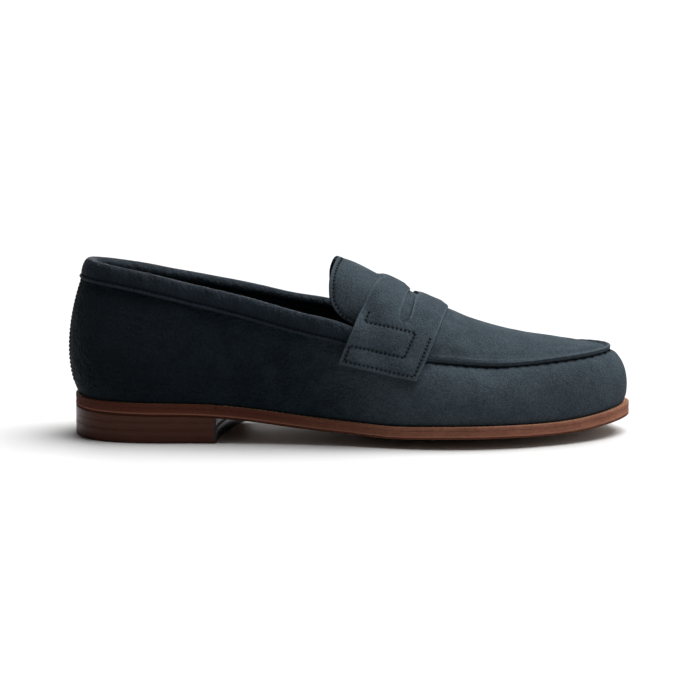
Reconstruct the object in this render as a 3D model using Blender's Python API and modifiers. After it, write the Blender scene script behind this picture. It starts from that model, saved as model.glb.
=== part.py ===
"""Penny loafer, right foot: a welted leather-soled slip-on, built piece by piece.

Frame: +X towards the toe, +Y towards the inner side of the foot, +Z up, the floor at Z = 0,
the origin under the middle of the shoe. All sizes below are in millimetres.
"""

import bisect

import bmesh
import bpy
import numpy as np

MM = 0.001
COLLECTION = "penny_loafer"

# ---- Driving sizes -------------------------------------------------------------------------
LENGTH = 300.0  # back of the counter to the tip of the sole
BALL_WIDTH = 103.0  # across the sole at the ball
HEEL_WIDTH = 67.0  # across the heel
WAIST_LATERAL = 36.0  # centre line to the sole's edge at the waist, outer side
WAIST_MEDIAL = 30.0  # the same, inner side
BACK_HEIGHT = 93.0  # floor to the raw topline at the back seam, under the collar band
VAMP_HEIGHT = 43.4  # floor to the apron seam at the toe
COUNTER_BULGE = 3.0  # the counter stands out behind the heel by this much
TOE_SHIFT = 4.0  # the tip of the toe lies this far to the inner side

HEEL_HEIGHT = 15.0  # under the sole, at the back
BREAST_HEIGHT = 13.2  # under the sole, at the heel breast
TOE_SPRING = 9.3  # floor to the underside of the toe's tip
TREAD_CROWN = 5.0  # the ball of the sole is this much lower than its edges

OUTSOLE = 4.3  # thicknesses
WELT = 2.2
INSOLE = 2.5
SOCK = 1.0
UPPER = 1.6
LINING = 1.0
STIFFENER = 1.0
STRAP = 1.6
APRON = 2.0
TOP_PIECE = 6.4
LOWER_LIFT = 3.9

GAP = 0.3  # between pieces that touch
LOOSE = 0.6  # between pieces whose facets run different ways

WELT_REVEAL = 3.0  # welt showing outside the upper, at the toe
HEEL_REVEAL = 1.6  # the same at the heel
LASTING_MARGIN = 9.0  # the upper turned in under the insole
APRON_LIP = 2.6  # the apron's edge above the vamp
COLLAR_DROP = 9.5  # depth of the folded collar band, outside
COLLAR_INNER_DROP = 6.0  # the same, inside
COLLAR = 1.0  # its leather
COLLAR_SKIN = COLLAR + 0.45  # from the upper to the outside of the band
COLLAR_END = 0.507  # u where the band ends, under the strap's rear edge
STRAP_WIDTH = 36.0  # along the shoe at the crest
STRAP_SLOT_MIDDLE = 4.6  # along the shoe, at the crest
STRAP_SLOT_ENDS = 8.0  # the same, near the slot's ends
PIN_RADIUS = 0.8
PIN_HOLE_RADIUS = 1.1
PIN_INSET = 8.0  # from the heel's edge
PIN_COUNT = 7
SHANK_WIDTH = 14.0
SHANK_LENGTH = 92.0
SHANK = 1.4

BACK = -LENGTH / 2 + COUNTER_BULGE  # the heel's back edge
TIP = LENGTH / 2
SOLE_LENGTH = TIP - BACK
HALF_BALL = BALL_WIDTH / 2
HALF_HEEL = HEEL_WIDTH / 2
SEAM_V = 0.85  # height of the apron seam on the vamp's profile
RISE = BACK_HEIGHT / 93.0  # scales the heights of the upper's lines with the back
VAMP_RISE = VAMP_HEIGHT / 43.4


def along(share):
    """X of a place given as its share of the sole's length from the heel."""
    return BACK + share * SOLE_LENGTH


# ---- Curves --------------------------------------------------------------------------------
class Spline:
    """A smooth cubic through the given values; with a period, the ends join smoothly."""

    def __init__(self, knots, values, closed=False):
        self.t = np.array(knots, float)
        self.p = np.array(values, float).reshape(len(knots), -1)
        count, h = len(self.t), np.diff(self.t)
        slope = np.diff(self.p, axis=0) / h[:, None]
        a, b = np.eye(count), np.zeros_like(self.p)
        for i in range(1, count - 1):
            a[i, i - 1 : i + 2] = h[i - 1], 2 * (h[i - 1] + h[i]), h[i]
            b[i] = 6 * (slope[i] - slope[i - 1])
        if closed:
            a[0, [0, 1, -2, -1]] = 2 * (h[0] + h[-1]), h[0], h[-1], 0
            b[0] = 6 * (slope[0] - slope[-1])
            a[-1, 0], a[-1, -1] = 1, -1
        self.m = np.linalg.solve(a, b)
        self.h = h

    def __call__(self, t):
        i = min(max(bisect.bisect_right(self.t, t) - 1, 0), len(self.h) - 1)
        h, left, right = self.h[i], t - self.t[i], self.t[i + 1] - t
        low, high = self.p[i] / h - self.m[i] * h / 6, self.p[i + 1] / h - self.m[i + 1] * h / 6
        value = (self.m[i] * right**3 + self.m[i + 1] * left**3) / (6 * h) + low * right + high * left
        return value if len(value) > 1 else float(value[0])


def profile(*points):
    """A height or width given at shares of the sole's length, read by X."""
    shares, values = zip(*points)
    return Spline([along(s) for s in shares], values)


def ring(lateral, medial=None):
    """A value round the shoe, given at u from the back seam, 0, to the toe, 1, and on to 2."""
    medial = medial or [(u, v if np.isscalar(v) else (v[0], -v[1], *v[2:])) for u, v in lateral[1:-1]]
    knots = [u for u, _ in lateral] + [2 - u for u, _ in reversed(medial)] + [2]
    values = [v for _, v in lateral] + [v for _, v in reversed(medial)] + [lateral[0][1]]
    return Spline(knots, values, closed=True)


# ---- The sole's outline and levels ---------------------------------------------------------
LATERAL_EDGE = [
    (0.0, 0.0), (0.034, 0.70 * HALF_HEEL), (0.115, 0.985 * HALF_HEEL), (0.21, 1.01 * HALF_HEEL),
    (0.36, WAIST_LATERAL), (0.49, 0.80 * HALF_BALL), (0.60, 0.955 * HALF_BALL), (0.69, HALF_BALL),
    (0.785, 0.93 * HALF_BALL), (0.87, 0.745 * HALF_BALL), (0.945, 0.47 * HALF_BALL),
]
MEDIAL_EDGE = [
    (0.034, 0.70 * HALF_HEEL), (0.115, 0.97 * HALF_HEEL), (0.22, 0.955 * HALF_HEEL),
    (0.35, WAIST_MEDIAL), (0.47, 0.62 * HALF_BALL), (0.585, 0.84 * HALF_BALL), (0.70, 0.985 * HALF_BALL),
    (0.80, 0.985 * HALF_BALL), (0.88, 0.875 * HALF_BALL), (0.95, 0.63 * HALF_BALL),
]


def sole_edge():
    """The outline as one closed spline over u, with equal u for equal length along each side."""
    lateral = [(along(s), -w) for s, w in LATERAL_EDGE]
    medial = [(along(s), w) for s, w in reversed(MEDIAL_EDGE)]
    points = np.array(lateral + [(TIP, TOE_SHIFT)] + medial + [lateral[0]])
    chord = np.concatenate([[0], np.cumsum(np.linalg.norm(np.diff(points, axis=0), axis=1))])
    raw, tip = Spline(chord, points, closed=True), chord[len(lateral)]
    us, places = [], []
    for start, end, first in ((0, tip, 0), (tip, chord[-1], 1)):
        dense = np.array([raw(t) for t in np.linspace(start, end, 241)])
        run = np.concatenate([[0], np.cumsum(np.linalg.norm(np.diff(dense, axis=0), axis=1))])
        us.extend(first + run[:-1] / run[-1])
        places.extend(dense[:-1])
    return Spline(us + [2], places + [places[0]], closed=True)


EDGE = sole_edge()


def outward(u):
    """Unit vector in plan, square to the sole's edge and pointing away from the shoe."""
    step = 0.004
    d = EDGE((u + step) % 2) - EDGE((u - step) % 2)
    return np.array([d[1], -d[0]]) / np.linalg.norm(d)


def inset(u, distance):
    return EDGE(u) - outward(u) * distance


TREAD_CENTRE = profile(
    (0.0, HEEL_HEIGHT), (0.13, HEEL_HEIGHT - 0.8), (0.256, BREAST_HEIGHT), (0.34, 0.77 * BREAST_HEIGHT),
    (0.43, 0.43 * BREAST_HEIGHT), (0.50, 0.22 * BREAST_HEIGHT), (0.56, 0.7), (0.635, 0.0), (0.70, 0.2),
    (0.765, 0.108 * TOE_SPRING), (0.833, 0.27 * TOE_SPRING), (0.90, 0.50 * TOE_SPRING),
    (0.95, 0.74 * TOE_SPRING), (1.0, TOE_SPRING),
)
CROWN = profile(
    (0.0, 0.0), (0.15, 0.0), (0.26, 0.0), (0.43, 0.72 * TREAD_CROWN), (0.56, TREAD_CROWN),
    (0.70, TREAD_CROWN), (0.80, 0.86 * TREAD_CROWN), (0.90, 0.55 * TREAD_CROWN), (1.0, 0.35 * TREAD_CROWN),
)


def tread(x, y):
    """Height of the sole's underside."""
    return max(TREAD_CENTRE(x), 0.0) + max(CROWN(x), 0.0) * (y / HALF_BALL) ** 2


def seat(x, y):
    """Height of the surface that the upper stands on."""
    return tread(x, y) + OUTSOLE + GAP + WELT + GAP


REVEAL = ring([(0.0, HEEL_REVEAL), (0.15, HEEL_REVEAL), (0.35, 2.0), (0.6, WELT_REVEAL), (1.0, WELT_REVEAL)])

# ---- The upper's lines ---------------------------------------------------------------------
# The wall is a cubic from the feather line, where upper meets welt, to its top rail. The top
# rail is the topline from the back seam to the strap, then the vamp's turned edge, which
# lies a little inside the apron seam.
TOP = ring([
    (0.0, (BACK + 7.6, 0.0, BACK_HEIGHT)),
    (0.045, (along(0.042), -8.8, 92.0 * RISE)),
    (0.11, (along(0.103), -17.0, 89.0 * RISE)),
    (0.20, (along(0.19), -23.4, 83.8 * RISE)),
    (0.33, (along(0.315), -30.8, 75.9 * RISE)),
    (0.44, (along(0.425), -35.7, 67.6 * RISE)),
    (0.51, (along(0.50), -36.5, 61.3 * RISE)),
    (0.575, (along(0.575), -32.8, 49.8 * RISE)),
    (0.65, (along(0.655), -28.8, 0.990 * VAMP_HEIGHT + 1.4)),
    (0.74, (along(0.75), -25.0, 0.951 * VAMP_HEIGHT)),
    (0.83, (along(0.835), -20.3, 0.968 * VAMP_HEIGHT)),
    (0.91, (along(0.905), -12.5, 1.0 * VAMP_HEIGHT)),
    (1.0, (along(0.945), 3.0, 1.017 * VAMP_HEIGHT)),
], [
    (0.045, (along(0.042), 8.8, 92.0 * RISE)),
    (0.11, (along(0.103), 17.0, 88.5 * RISE)),
    (0.20, (along(0.19), 23.4, 82.7 * RISE)),
    (0.33, (along(0.315), 30.3, 74.5 * RISE)),
    (0.44, (along(0.425), 34.0, 67.0 * RISE)),
    (0.51, (along(0.50), 35.0, 61.3 * RISE)),
    (0.575, (along(0.575), 31.8, 49.8 * RISE)),
    (0.65, (along(0.655), 30.0, 0.990 * VAMP_HEIGHT + 2.4)),
    (0.74, (along(0.75), 27.5, 0.951 * VAMP_HEIGHT + 1.0)),
    (0.83, (along(0.835), 24.0, 0.968 * VAMP_HEIGHT)),
    (0.91, (along(0.905), 17.5, 1.0 * VAMP_HEIGHT)),
])
# How far each control point of the wall's profile stands out from the rail below or above it.
LOW_OUT = ring(
    [(0.0, 8.2), (0.15, 6.5), (0.33, 5.0), (0.5, 4.0), (0.65, 4.5), (0.85, 4.6), (1.0, 4.6)],
    [(0.15, 6.0), (0.33, 8.0), (0.5, 8.5), (0.65, 5.5), (0.85, 4.6)],
)
LOW_UP = ring([
    (0.0, 18.0), (0.15, 20.0), (0.33, 20.0), (0.5, 15.0), (0.65, 11.5), (0.85, 10.7), (1.0, 10.7),
])
HIGH_OUT = ring([
    (0.0, 10.7), (0.15, 9.0), (0.33, 5.0), (0.5, 5.0), (0.65, 14.0), (0.74, 16.0), (0.85, 15.5), (1.0, 14.0),
])
HIGH_DOWN = ring([
    (0.0, 26.0), (0.15, 26.0), (0.33, 24.0), (0.5, 17.0), (0.6, 4.0), (0.7, 0.5), (0.8, -0.7),
    (0.9, -1.8), (1.0, -2.2),
])


def feather(u):
    x, y = inset(u, REVEAL(u))
    return np.array([x, y, seat(x, y)])


def wall(u, v):
    """The upper's outer surface: v runs from the welt, 0, to the top rail, 1."""
    low, high, out = feather(u), TOP(u), np.append(outward(u), 0.0)
    up = np.array([0.0, 0.0, 1.0])
    a = low + out * LOW_OUT(u) + up * LOW_UP(u)
    b = high + out * HIGH_OUT(u) - up * HIGH_DOWN(u)
    w = 1 - v
    return w**3 * low + 3 * w * w * v * a + 3 * w * v * v * b + v**3 * high


# ---- The instep: apron and tongue ----------------------------------------------------------
CREST = profile(
    (0.455, 96.0 * RISE), (0.475, 94.3 * RISE), (0.513, 89.9 * RISE), (0.55, 84.2 * RISE),
    (0.60, 76.3 * RISE), (0.674, 65.9 * RISE), (0.73, 59.2 * RISE), (0.80, 1.238 * VAMP_HEIGHT),
    (0.87, 1.155 * VAMP_HEIGHT), (0.93, 1.088 * VAMP_HEIGHT), (1.0, 1.07 * VAMP_HEIGHT),
)
ROUNDNESS = profile((0.44, 2.0), (0.56, 1.9), (0.66, 1.45), (0.76, 1.15), (0.86, 1.0), (1.0, 1.0))
APRON_START = 0.575  # u where the apron begins, under the strap
RIM_X = [along(share) for share in (0.44, 0.475, 0.51)]  # the tongue's sides, by X
RIM_HALF = (27.8, 29.2, 31.0)
RIM_HEIGHT = (63.5 * RISE, 61.5 * RISE, 60.0 * RISE)
STRAP_CREST = along(0.5585)  # X of the strap's rear edge at its crest
# How far the tongue's free edge lies behind the strap's crest, by the turn from the crest, 0, to
# the sides, 1.
TONGUE_REACH = (
    (0.0, 24.6), (0.245, 27.1), (0.431, 28.9), (0.552, 29.7), (0.643, 29.8), (0.739, 29.4),
    (0.813, 27.8), (0.872, 25.2), (0.919, 21.8), (0.965, 16.5),
)


def arch(left, right, crest, share, roundness):
    """A point of an arch from left to right: share runs from -1 through 0, the crest, to 1."""
    base = (left + right) / 2 + (right - left) / 2 * share
    rise = max(1 - abs(share) ** 2.1, 0.0) ** (1 / roundness)
    return base + np.array([0.0, 0.0, (crest - (left[2] + right[2]) / 2) * rise])


def apron_rim(u):
    """The apron's edge, which lifts a little where it runs out under the strap."""
    run_out = np.clip((APRON_START + 0.05 - min(u, 2 - u)) / 0.05, 0, 1)
    return wall(u, SEAM_V) + np.array([0.0, 0.0, APRON_LIP + run_out])


def apron_point(u, share):
    left, right = apron_rim(u), apron_rim(2 - u)
    x = (left[0] + right[0]) / 2
    return arch(left, right, CREST(x), share, ROUNDNESS(x))


def rim_line(side):
    """The lower edge of the instep by X: the tongue's sides, running on into the apron's rim."""
    free = [(side * half, height) for half, height in zip(RIM_HALF, RIM_HEIGHT)]
    seam = [apron_rim(u if side < 0 else 2 - u) for u in (APRON_START, 0.61, 0.65, 0.70, 0.76)]
    return Spline(RIM_X + [p[0] for p in seam], free + [(p[1], p[2]) for p in seam])


RIM_LEFT, RIM_RIGHT = rim_line(-1.0), rim_line(1.0)


def tongue_point(x, share):
    return arch(np.array([x, *RIM_LEFT(x)]), np.array([x, *RIM_RIGHT(x)]), CREST(x), share, ROUNDNESS(x))


# ---- Mesh building -------------------------------------------------------------------------
def new_object(name, mesh, material, parent=None):
    obj = bpy.data.objects.new(name, mesh)
    bpy.data.collections[COLLECTION].objects.link(obj)
    mesh.materials.append(bpy.data.materials[material])
    obj.parent = parent
    return obj


def grid_mesh(name, points, closed=False):
    """A sheet of quads through a grid of points in millimetres, points[i][j]."""
    rows, columns = points.shape[:2]
    made = bmesh.new()
    verts = [[made.verts.new(p * MM) for p in row] for row in points]
    for i in range(rows if closed else rows - 1):
        for j in range(columns - 1):
            k = (i + 1) % rows
            made.faces.new((verts[i][j], verts[k][j], verts[k][j + 1], verts[i][j + 1]))
    bmesh.ops.remove_doubles(made, verts=made.verts, dist=0.00001)
    bmesh.ops.dissolve_degenerate(made, edges=made.edges, dist=0.00001)
    mesh = bpy.data.meshes.new(name)
    made.to_mesh(mesh)
    made.free()
    return mesh


def shade(mesh):
    mesh.shade_smooth()
    mesh.set_sharp_from_angle(angle=0.7)


def shell(name, points, thickness, material, closed=False, parent=None):
    """A leather piece: the outer surface as a grid, thickened inwards."""
    mesh = grid_mesh(name, points, closed)
    shade(mesh)
    obj = new_object(name, mesh, material, parent)
    solid = obj.modifiers.new("leather", "SOLIDIFY")
    solid.thickness = thickness * MM
    solid.offset = -1
    solid.use_even_offset = True
    return obj


def plate(name, plan, low, high, material):
    """A sheet that follows the sole: a grid in plan between two height functions."""
    def lift(height):
        return np.array([[(x, y, height(x, y)) for x, y in row] for row in plan])
    mesh = grid_mesh(name, lift(low))
    made = bmesh.new()
    made.from_mesh(mesh)
    grown = bmesh.ops.extrude_face_region(made, geom=made.faces[:])["geom"]
    for vert in (g for g in grown if isinstance(g, bmesh.types.BMVert)):
        x, y = vert.co.x / MM, vert.co.y / MM
        vert.co.z = high(x, y) * MM
    bmesh.ops.recalc_face_normals(made, faces=made.faces)
    made.to_mesh(mesh)
    made.free()
    shade(mesh)
    return new_object(name, mesh, material)


def normals_of(points, closed=False):
    """Outward unit normals of a grid, from its neighbours on each side."""
    if closed:
        du = np.roll(points, -1, axis=0) - np.roll(points, 1, axis=0)
    else:
        du = np.gradient(points, axis=0)
    dv = np.gradient(points, axis=1)
    cross = np.cross(du, dv)
    return cross / np.maximum(np.linalg.norm(cross, axis=2, keepdims=True), 1e-9)


# ---- Stations shared by the layers, so that their facets stay parallel ---------------------
SIDE_STATIONS = [0.0, 0.022, 0.045, 0.072, 0.105, 0.145, 0.19, 0.24, 0.30, 0.36, 0.42, 0.47, 0.507, 0.54,
                 0.575, 0.61, 0.65, 0.69, 0.73, 0.775, 0.815, 0.85, 0.882, 0.91, 0.935, 0.957, 0.979, 1.0]
STATIONS = SIDE_STATIONS + [2 - u for u in reversed(SIDE_STATIONS[1:-1])]
LEVELS = [0.0, 0.10, 0.22, 0.36, 0.50, 0.64, 0.76, SEAM_V, 1.0]


def wall_grid():
    return np.array([[wall(u, v) for v in LEVELS] for u in STATIONS])


WALL = wall_grid()
WALL_NORMALS = normals_of(WALL, closed=True)


def stiffened(u):
    """1 where the toe puff or the counter lies between upper and lining, else 0."""
    f = min(u, 2 - u)
    heel, toe = np.clip((0.40 - f) / 0.10, 0, 1), np.clip((f - 0.66) / 0.10, 0, 1)
    return max(heel, toe)


def layer(first_u, last_u, first_level, last_level, depth_of):
    """Part of the wall's grid, sunk by a depth. The run may pass through the toe or the back."""
    wanted = [i for i, u in enumerate(STATIONS) if first_u <= u <= last_u]
    if first_u < 0:
        wanted = [i for i, u in enumerate(STATIONS) if u >= 2 + first_u] + wanted
    rows = []
    for i in wanted:
        d = depth_of(STATIONS[i])
        rows.append(WALL[i, first_level : last_level + 1] - WALL_NORMALS[i, first_level : last_level + 1] * d)
    return np.array(rows)


def pulled_in(points, distance):
    """The same grid with its first and last rows moved inwards, to leave a gap at a butt joint."""
    moved = points.copy()
    for end, beside in ((0, 1), (-1, -2)):
        step = points[beside] - points[end]
        moved[end] += step / np.linalg.norm(step, axis=1, keepdims=True) * distance
    return moved


def lining_depth(u):
    return UPPER + GAP + stiffened(u) * (STIFFENER + GAP)


# ---- Bottom pieces -------------------------------------------------------------------------
ROW_STATIONS = SIDE_STATIONS
ACROSS = np.linspace(0, 1, 7)


def full_plan(distance_of, first_x=None):
    """Rows across the sole, at a distance in from its edge, from the back or from first_x on."""
    rows = []
    for u in ROW_STATIONS:
        left, right = inset(u, distance_of(u)), inset(2 - u if u > 0 else 0, distance_of(u))
        if first_x is not None and (left[0] + right[0]) / 2 < first_x:
            continue
        rows.append([left + (right - left) * a for a in ACROSS])
    return np.array(rows)


def band_plan(first_u, last_u, outer_of, inner_of):
    """A band along the sole's edge, from the outer to the inner distance."""
    stations = [u for u in STATIONS if first_u < u < last_u]
    if first_u < 0:
        stations = [u for u in STATIONS if u > 2 + first_u] + [u for u in STATIONS if u < last_u]
        first_u += 2
    stations = [first_u] + stations + [last_u]
    return np.array([[inset(u, outer_of(u)), inset(u, inner_of(u))] for u in stations])


BREAST_U = 0.278  # the heel breast on the outer side
MEDIAL_BREAST_SHARE = 0.308  # the breast on the inner side, as a share of the sole's length
BREAST_HOLLOW = 2.6


def build_sole():
    top = OUTSOLE
    plate("outsole", full_plan(lambda u: 0.0), tread, lambda x, y: tread(x, y) + top, "sole_leather")
    welt_low = lambda x, y: tread(x, y) + OUTSOLE + GAP
    welt_high = lambda x, y: welt_low(x, y) + WELT
    inner = lambda u: REVEAL(u) + LASTING_MARGIN - 1.0
    joint = GAP / 2 / SOLE_LENGTH
    plate("welt", band_plan(BREAST_U + joint, 2 - BREAST_U - joint, lambda u: 0.0, inner),
          welt_low, welt_high, "sole_leather")
    plate("heel_rand", band_plan(-BREAST_U + joint, BREAST_U - joint, lambda u: 0.0, inner),
          welt_low, welt_high, "sole_leather")
    insole_low = lambda x, y: seat(x, y) + UPPER + GAP
    insole_high = lambda x, y: insole_low(x, y) + INSOLE
    fill = full_plan(lambda u: REVEAL(u) + LASTING_MARGIN + LOOSE, first_x=along(0.45))
    plate("cork_filler", fill, welt_low, lambda x, y: insole_low(x, y) - GAP, "cork")
    room = lambda u: REVEAL(u) + UPPER + GAP + STIFFENER + GAP + LINING + LOOSE
    plate("insole", full_plan(room), insole_low, insole_high, "insole_leather")
    sock = full_plan(lambda u: room(u) + 0.3)
    plate("sock_liner", sock, lambda x, y: insole_high(x, y) + GAP,
          lambda x, y: insole_high(x, y) + GAP + SOCK, "lining_leather")
    start = along(0.43) - SHANK_LENGTH
    strip = [[(x, y) for y in np.linspace(-SHANK_WIDTH / 2, SHANK_WIDTH / 2, 3)]
             for x in np.linspace(start, start + SHANK_LENGTH, 9)]
    plate("shank", np.array(strip), lambda x, y: welt_low(x, y) + GAP,
          lambda x, y: welt_low(x, y) + GAP + SHANK, "spring_steel")


# ---- Heel ----------------------------------------------------------------------------------
def heel_plan():
    """Rows across the heel, from its back to the hollow breast, which runs forward inwards."""
    medial = [u for u in np.linspace(0.2, 0.45, 201) if EDGE(2 - u)[0] <= along(MEDIAL_BREAST_SHARE)]
    reach = max(medial) / BREAST_U
    rows = []
    for u in [u for u in SIDE_STATIONS if u < BREAST_U - 0.02] + [BREAST_U]:
        left, right = EDGE(u), EDGE((2 - u * reach) % 2)
        row = [left + (right - left) * a for a in ACROSS]
        for point, a in zip(row, ACROSS):
            point[0] -= BREAST_HOLLOW * 4 * a * (1 - a) * (u / BREAST_U) ** 3
        rows.append(row)
    return np.array(rows)


def pin_places():
    """Heel pins follow the heel's edge, on both sides and round the back."""
    return [inset(u % 2, PIN_INSET) for u in np.linspace(-0.20, 0.20, PIN_COUNT)]


def cylinder(name, radius, low, high, place):
    made = bmesh.new()
    bmesh.ops.create_cone(made, cap_ends=True, segments=10, radius1=radius * MM, radius2=radius * MM,
                          depth=(high - low) * MM)
    bmesh.ops.translate(made, verts=made.verts, vec=(place[0] * MM, place[1] * MM, (low + high) / 2 * MM))
    mesh = bpy.data.meshes.new(name)
    made.to_mesh(mesh)
    made.free()
    shade(mesh)
    return mesh


def build_heel():
    plan = heel_plan()
    levels = [0.0, TOP_PIECE, TOP_PIECE + GAP, TOP_PIECE + GAP + LOWER_LIFT]
    lift_low = levels[3] + GAP
    top_piece = plate("top_piece", plan, lambda x, y: levels[0], lambda x, y: levels[1], "sole_leather")
    lower = plate("heel_lift_lower", plan, lambda x, y: levels[2], lambda x, y: levels[3], "sole_leather")
    plate("heel_lift_upper", plan, lambda x, y: lift_low, lambda x, y: tread(x, y) - GAP, "sole_leather")
    for number, place in enumerate(pin_places(), 1):
        pin = cylinder(f"heel_pin_{number}", PIN_RADIUS, levels[0], levels[3], place)
        new_object(f"heel_pin_{number}", pin, "brass")
        drill = bpy.data.objects.new(f"drill_{number}", cylinder(
            f"drill_{number}", PIN_HOLE_RADIUS, levels[0] - 2, levels[3] + 0.2, place))
        bpy.data.collections["cutters"].objects.link(drill)
        drill.hide_render, drill.display_type = True, "WIRE"
        for piece in (top_piece, lower):
            cut = piece.modifiers.new("pin hole", "BOOLEAN")
            cut.object, cut.operation = drill, "DIFFERENCE"


# ---- Upper ---------------------------------------------------------------------------------
def turned_margin():
    """The upper's lowest rows: the lasting margin turned in flat under the insole."""
    rows = []
    for u in STATIONS:
        x, y = inset(u, REVEAL(u) + LASTING_MARGIN)
        rows.append([(x, y, seat(x, y))])
    return np.array(rows)


def build_wall():
    shell("vamp_wrap", np.concatenate([turned_margin(), WALL], axis=1), UPPER, "nubuck", closed=True)
    stiff = lambda u: UPPER + GAP
    shell("toe_puff", pulled_in(layer(0.77, 1.23, 1, 7, stiff), GAP), STIFFENER, "stiffener")
    shell("heel_counter", layer(-0.30, 0.30, 1, 7, stiff), STIFFENER, "stiffener")
    shell("vamp_lining", pulled_in(layer(0.54, 1.46, 1, 7, lining_depth), GAP), LINING, "lining_leather")
    shell("quarter_lining", pulled_in(layer(-0.54, 0.54, 1, 7, lining_depth), GAP), LINING, "lining_leather")
    grip = lambda u: lining_depth(u) + LINING + GAP
    shell("heel_grip", layer(-0.145, 0.145, 3, 6, grip), LINING, "lining_leather")


APRON_STATIONS = [u for u in SIDE_STATIONS if u >= APRON_START]
APRON_SHARES = np.sin(np.linspace(-1, 1, 13) * np.pi / 2 * 0.999)


def build_apron():
    rows = [[apron_point(u, s) for s in APRON_SHARES] for u in APRON_STATIONS[:-1]]
    outer = np.array(rows + [[apron_point(1.0, 0.0)] * len(APRON_SHARES)])
    shell("apron", outer, APRON, "nubuck")
    clear_of_vamp = sum(u < 0.9 for u in APRON_STATIONS)
    under = (outer - normals_of(outer) * (APRON + GAP))[:clear_of_vamp, 3:-3]
    shell("apron_lining", under, LINING, "lining_leather")


def strap_rear(share):
    """X of the strap's rear edge: share is 0 at the crest and 1 at the lower end."""
    return STRAP_CREST - 25.2 * share**1.15


def strap_front(share):
    return STRAP_CREST + STRAP_WIDTH - 2.2 - 17.0 * share**1.6


def tongue_root(share):
    return strap_rear(abs(share) * 0.56) - LOOSE


HINGE_ABOVE = 2.0  # the tongue's hinge over its crest, so that its root turns back clear of the strap
TONGUE_SHARES = np.sin(np.linspace(-1, 1, 13) * np.pi / 2 * 0.965)


def tongue_grid(sink, trim):
    reach_of = Spline(*zip(*TONGUE_REACH))
    rows = []
    for step in np.linspace(0, 1, 6):
        row = []
        for s in TONGUE_SHARES:
            turned = np.arcsin(abs(s)) / (np.pi / 2)
            root, tip = tongue_root(s), STRAP_CREST - reach_of(turned) + trim
            row.append(tongue_point(tip + (root - tip) * step, s) - np.array([0, 0, sink]))
        rows.append(row)
    return np.array(rows)


def build_tongue():
    hinge = bpy.data.objects.new("tongue_hinge", None)
    hinge.location = (STRAP_CREST * MM, 0.0, (CREST(STRAP_CREST) + HINGE_ABOVE) * MM)
    bpy.data.collections[COLLECTION].objects.link(hinge)
    bpy.context.view_layer.update()
    for name, sink, trim, thickness, material in (
        ("tongue", 0.0, 0.0, 1.2, "nubuck"), ("tongue_lining", 1.2 + GAP, 0.4, 0.8, "lining_leather"),
    ):
        points = tongue_grid(0.0, trim)
        points = points - normals_of(points) * sink
        obj = shell(name, points, thickness, material, parent=hinge)
        obj.matrix_parent_inverse = hinge.matrix_world.inverted()


def turn(a, b, c):
    """Positive where the path a, b, c turns left."""
    return (b[0] - a[0]) * (c[1] - b[1]) - (b[1] - a[1]) * (c[0] - b[0])


def around(points):
    """The outer boundary of points in a plane, from the lowest on the left over the top to the right."""
    ordered, chains = sorted(map(tuple, points)), []
    for run in (ordered, ordered[::-1]):
        chain = []
        for p in run:
            while len(chain) > 1 and turn(chain[-2], chain[-1], p) >= 0:
                chain.pop()
            chain.append(p)
        chains.append(chain[:-1])
    loop = chains[0] + chains[1]
    start = loop.index(min((p for p in loop if p[0] < 0), key=lambda p: p[1]))
    loop = loop[start:] + loop[:start]
    end = loop.index(min((p for p in loop if p[0] > 0), key=lambda p: p[1]))
    return np.array(loop[: end + 1])


def section(x):
    """What the strap is drawn tight over at X: both walls, the collar band's ends and the instep."""
    points = [tongue_point(x, s)[1:] for s in np.sin(np.linspace(-0.49, 0.49, 15) * np.pi)]
    band = COLLAR_SKIN + LOOSE if x < wall(COLLAR_END, 1.0)[0] + 4.0 else 0.0
    for side in (-1, 1):
        us = np.linspace(0.36, 0.74, 27) if side < 0 else 2 - np.linspace(0.36, 0.74, 27)
        for v in (0.30, 0.42, 0.54, 0.66, 0.78, 0.88, 1.0):
            line = np.array([wall(u, v) for u in us])
            order = np.argsort(line[:, 0])
            y, z = (np.interp(x, line[order, 0], line[order, k]) for k in (1, 2))
            points.append((y + side * band * (v > 0.4), z + band * (v == 1.0)))
    return around(points)


def strap_path(x, count):
    """Points over the instep at X, evenly spread, clear of what lies below."""
    line = section(x)
    run = np.concatenate([[0], np.cumsum(np.linalg.norm(np.diff(line, axis=0), axis=1))])
    fine = np.linspace(0, run[-1], 141)
    dense = np.stack([np.interp(fine, run, line[:, k]) for k in (0, 1)], axis=1)
    for _ in range(14):
        dense[1:-1] = (dense[:-2] + 2 * dense[1:-1] + dense[2:]) / 4
    crest = int(np.argmax(dense[:, 1]))
    tangent = np.gradient(dense, axis=0)
    normal = np.stack([-tangent[:, 1], tangent[:, 0]], axis=1)
    normal = normal / np.linalg.norm(normal, axis=1, keepdims=True)
    dense = dense + normal * (STRAP + STRAP_CLEARANCE)
    half = np.linspace(0, crest, count // 2 + 1)
    other = np.linspace(crest, len(dense) - 1, count // 2 + 1)[1:]
    return np.array([[np.interp(i, range(len(dense)), dense[:, k]) for k in (0, 1)] for i in (*half, *other)])


STRAP_REACH = 0.82  # share of the path from the crest to the wall's lowest sampled level
STRAP_CLEARANCE = 1.0
SLOT_REACH = 0.42  # the coin slot's end, as a share of the strap from its crest to its lower end


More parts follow.
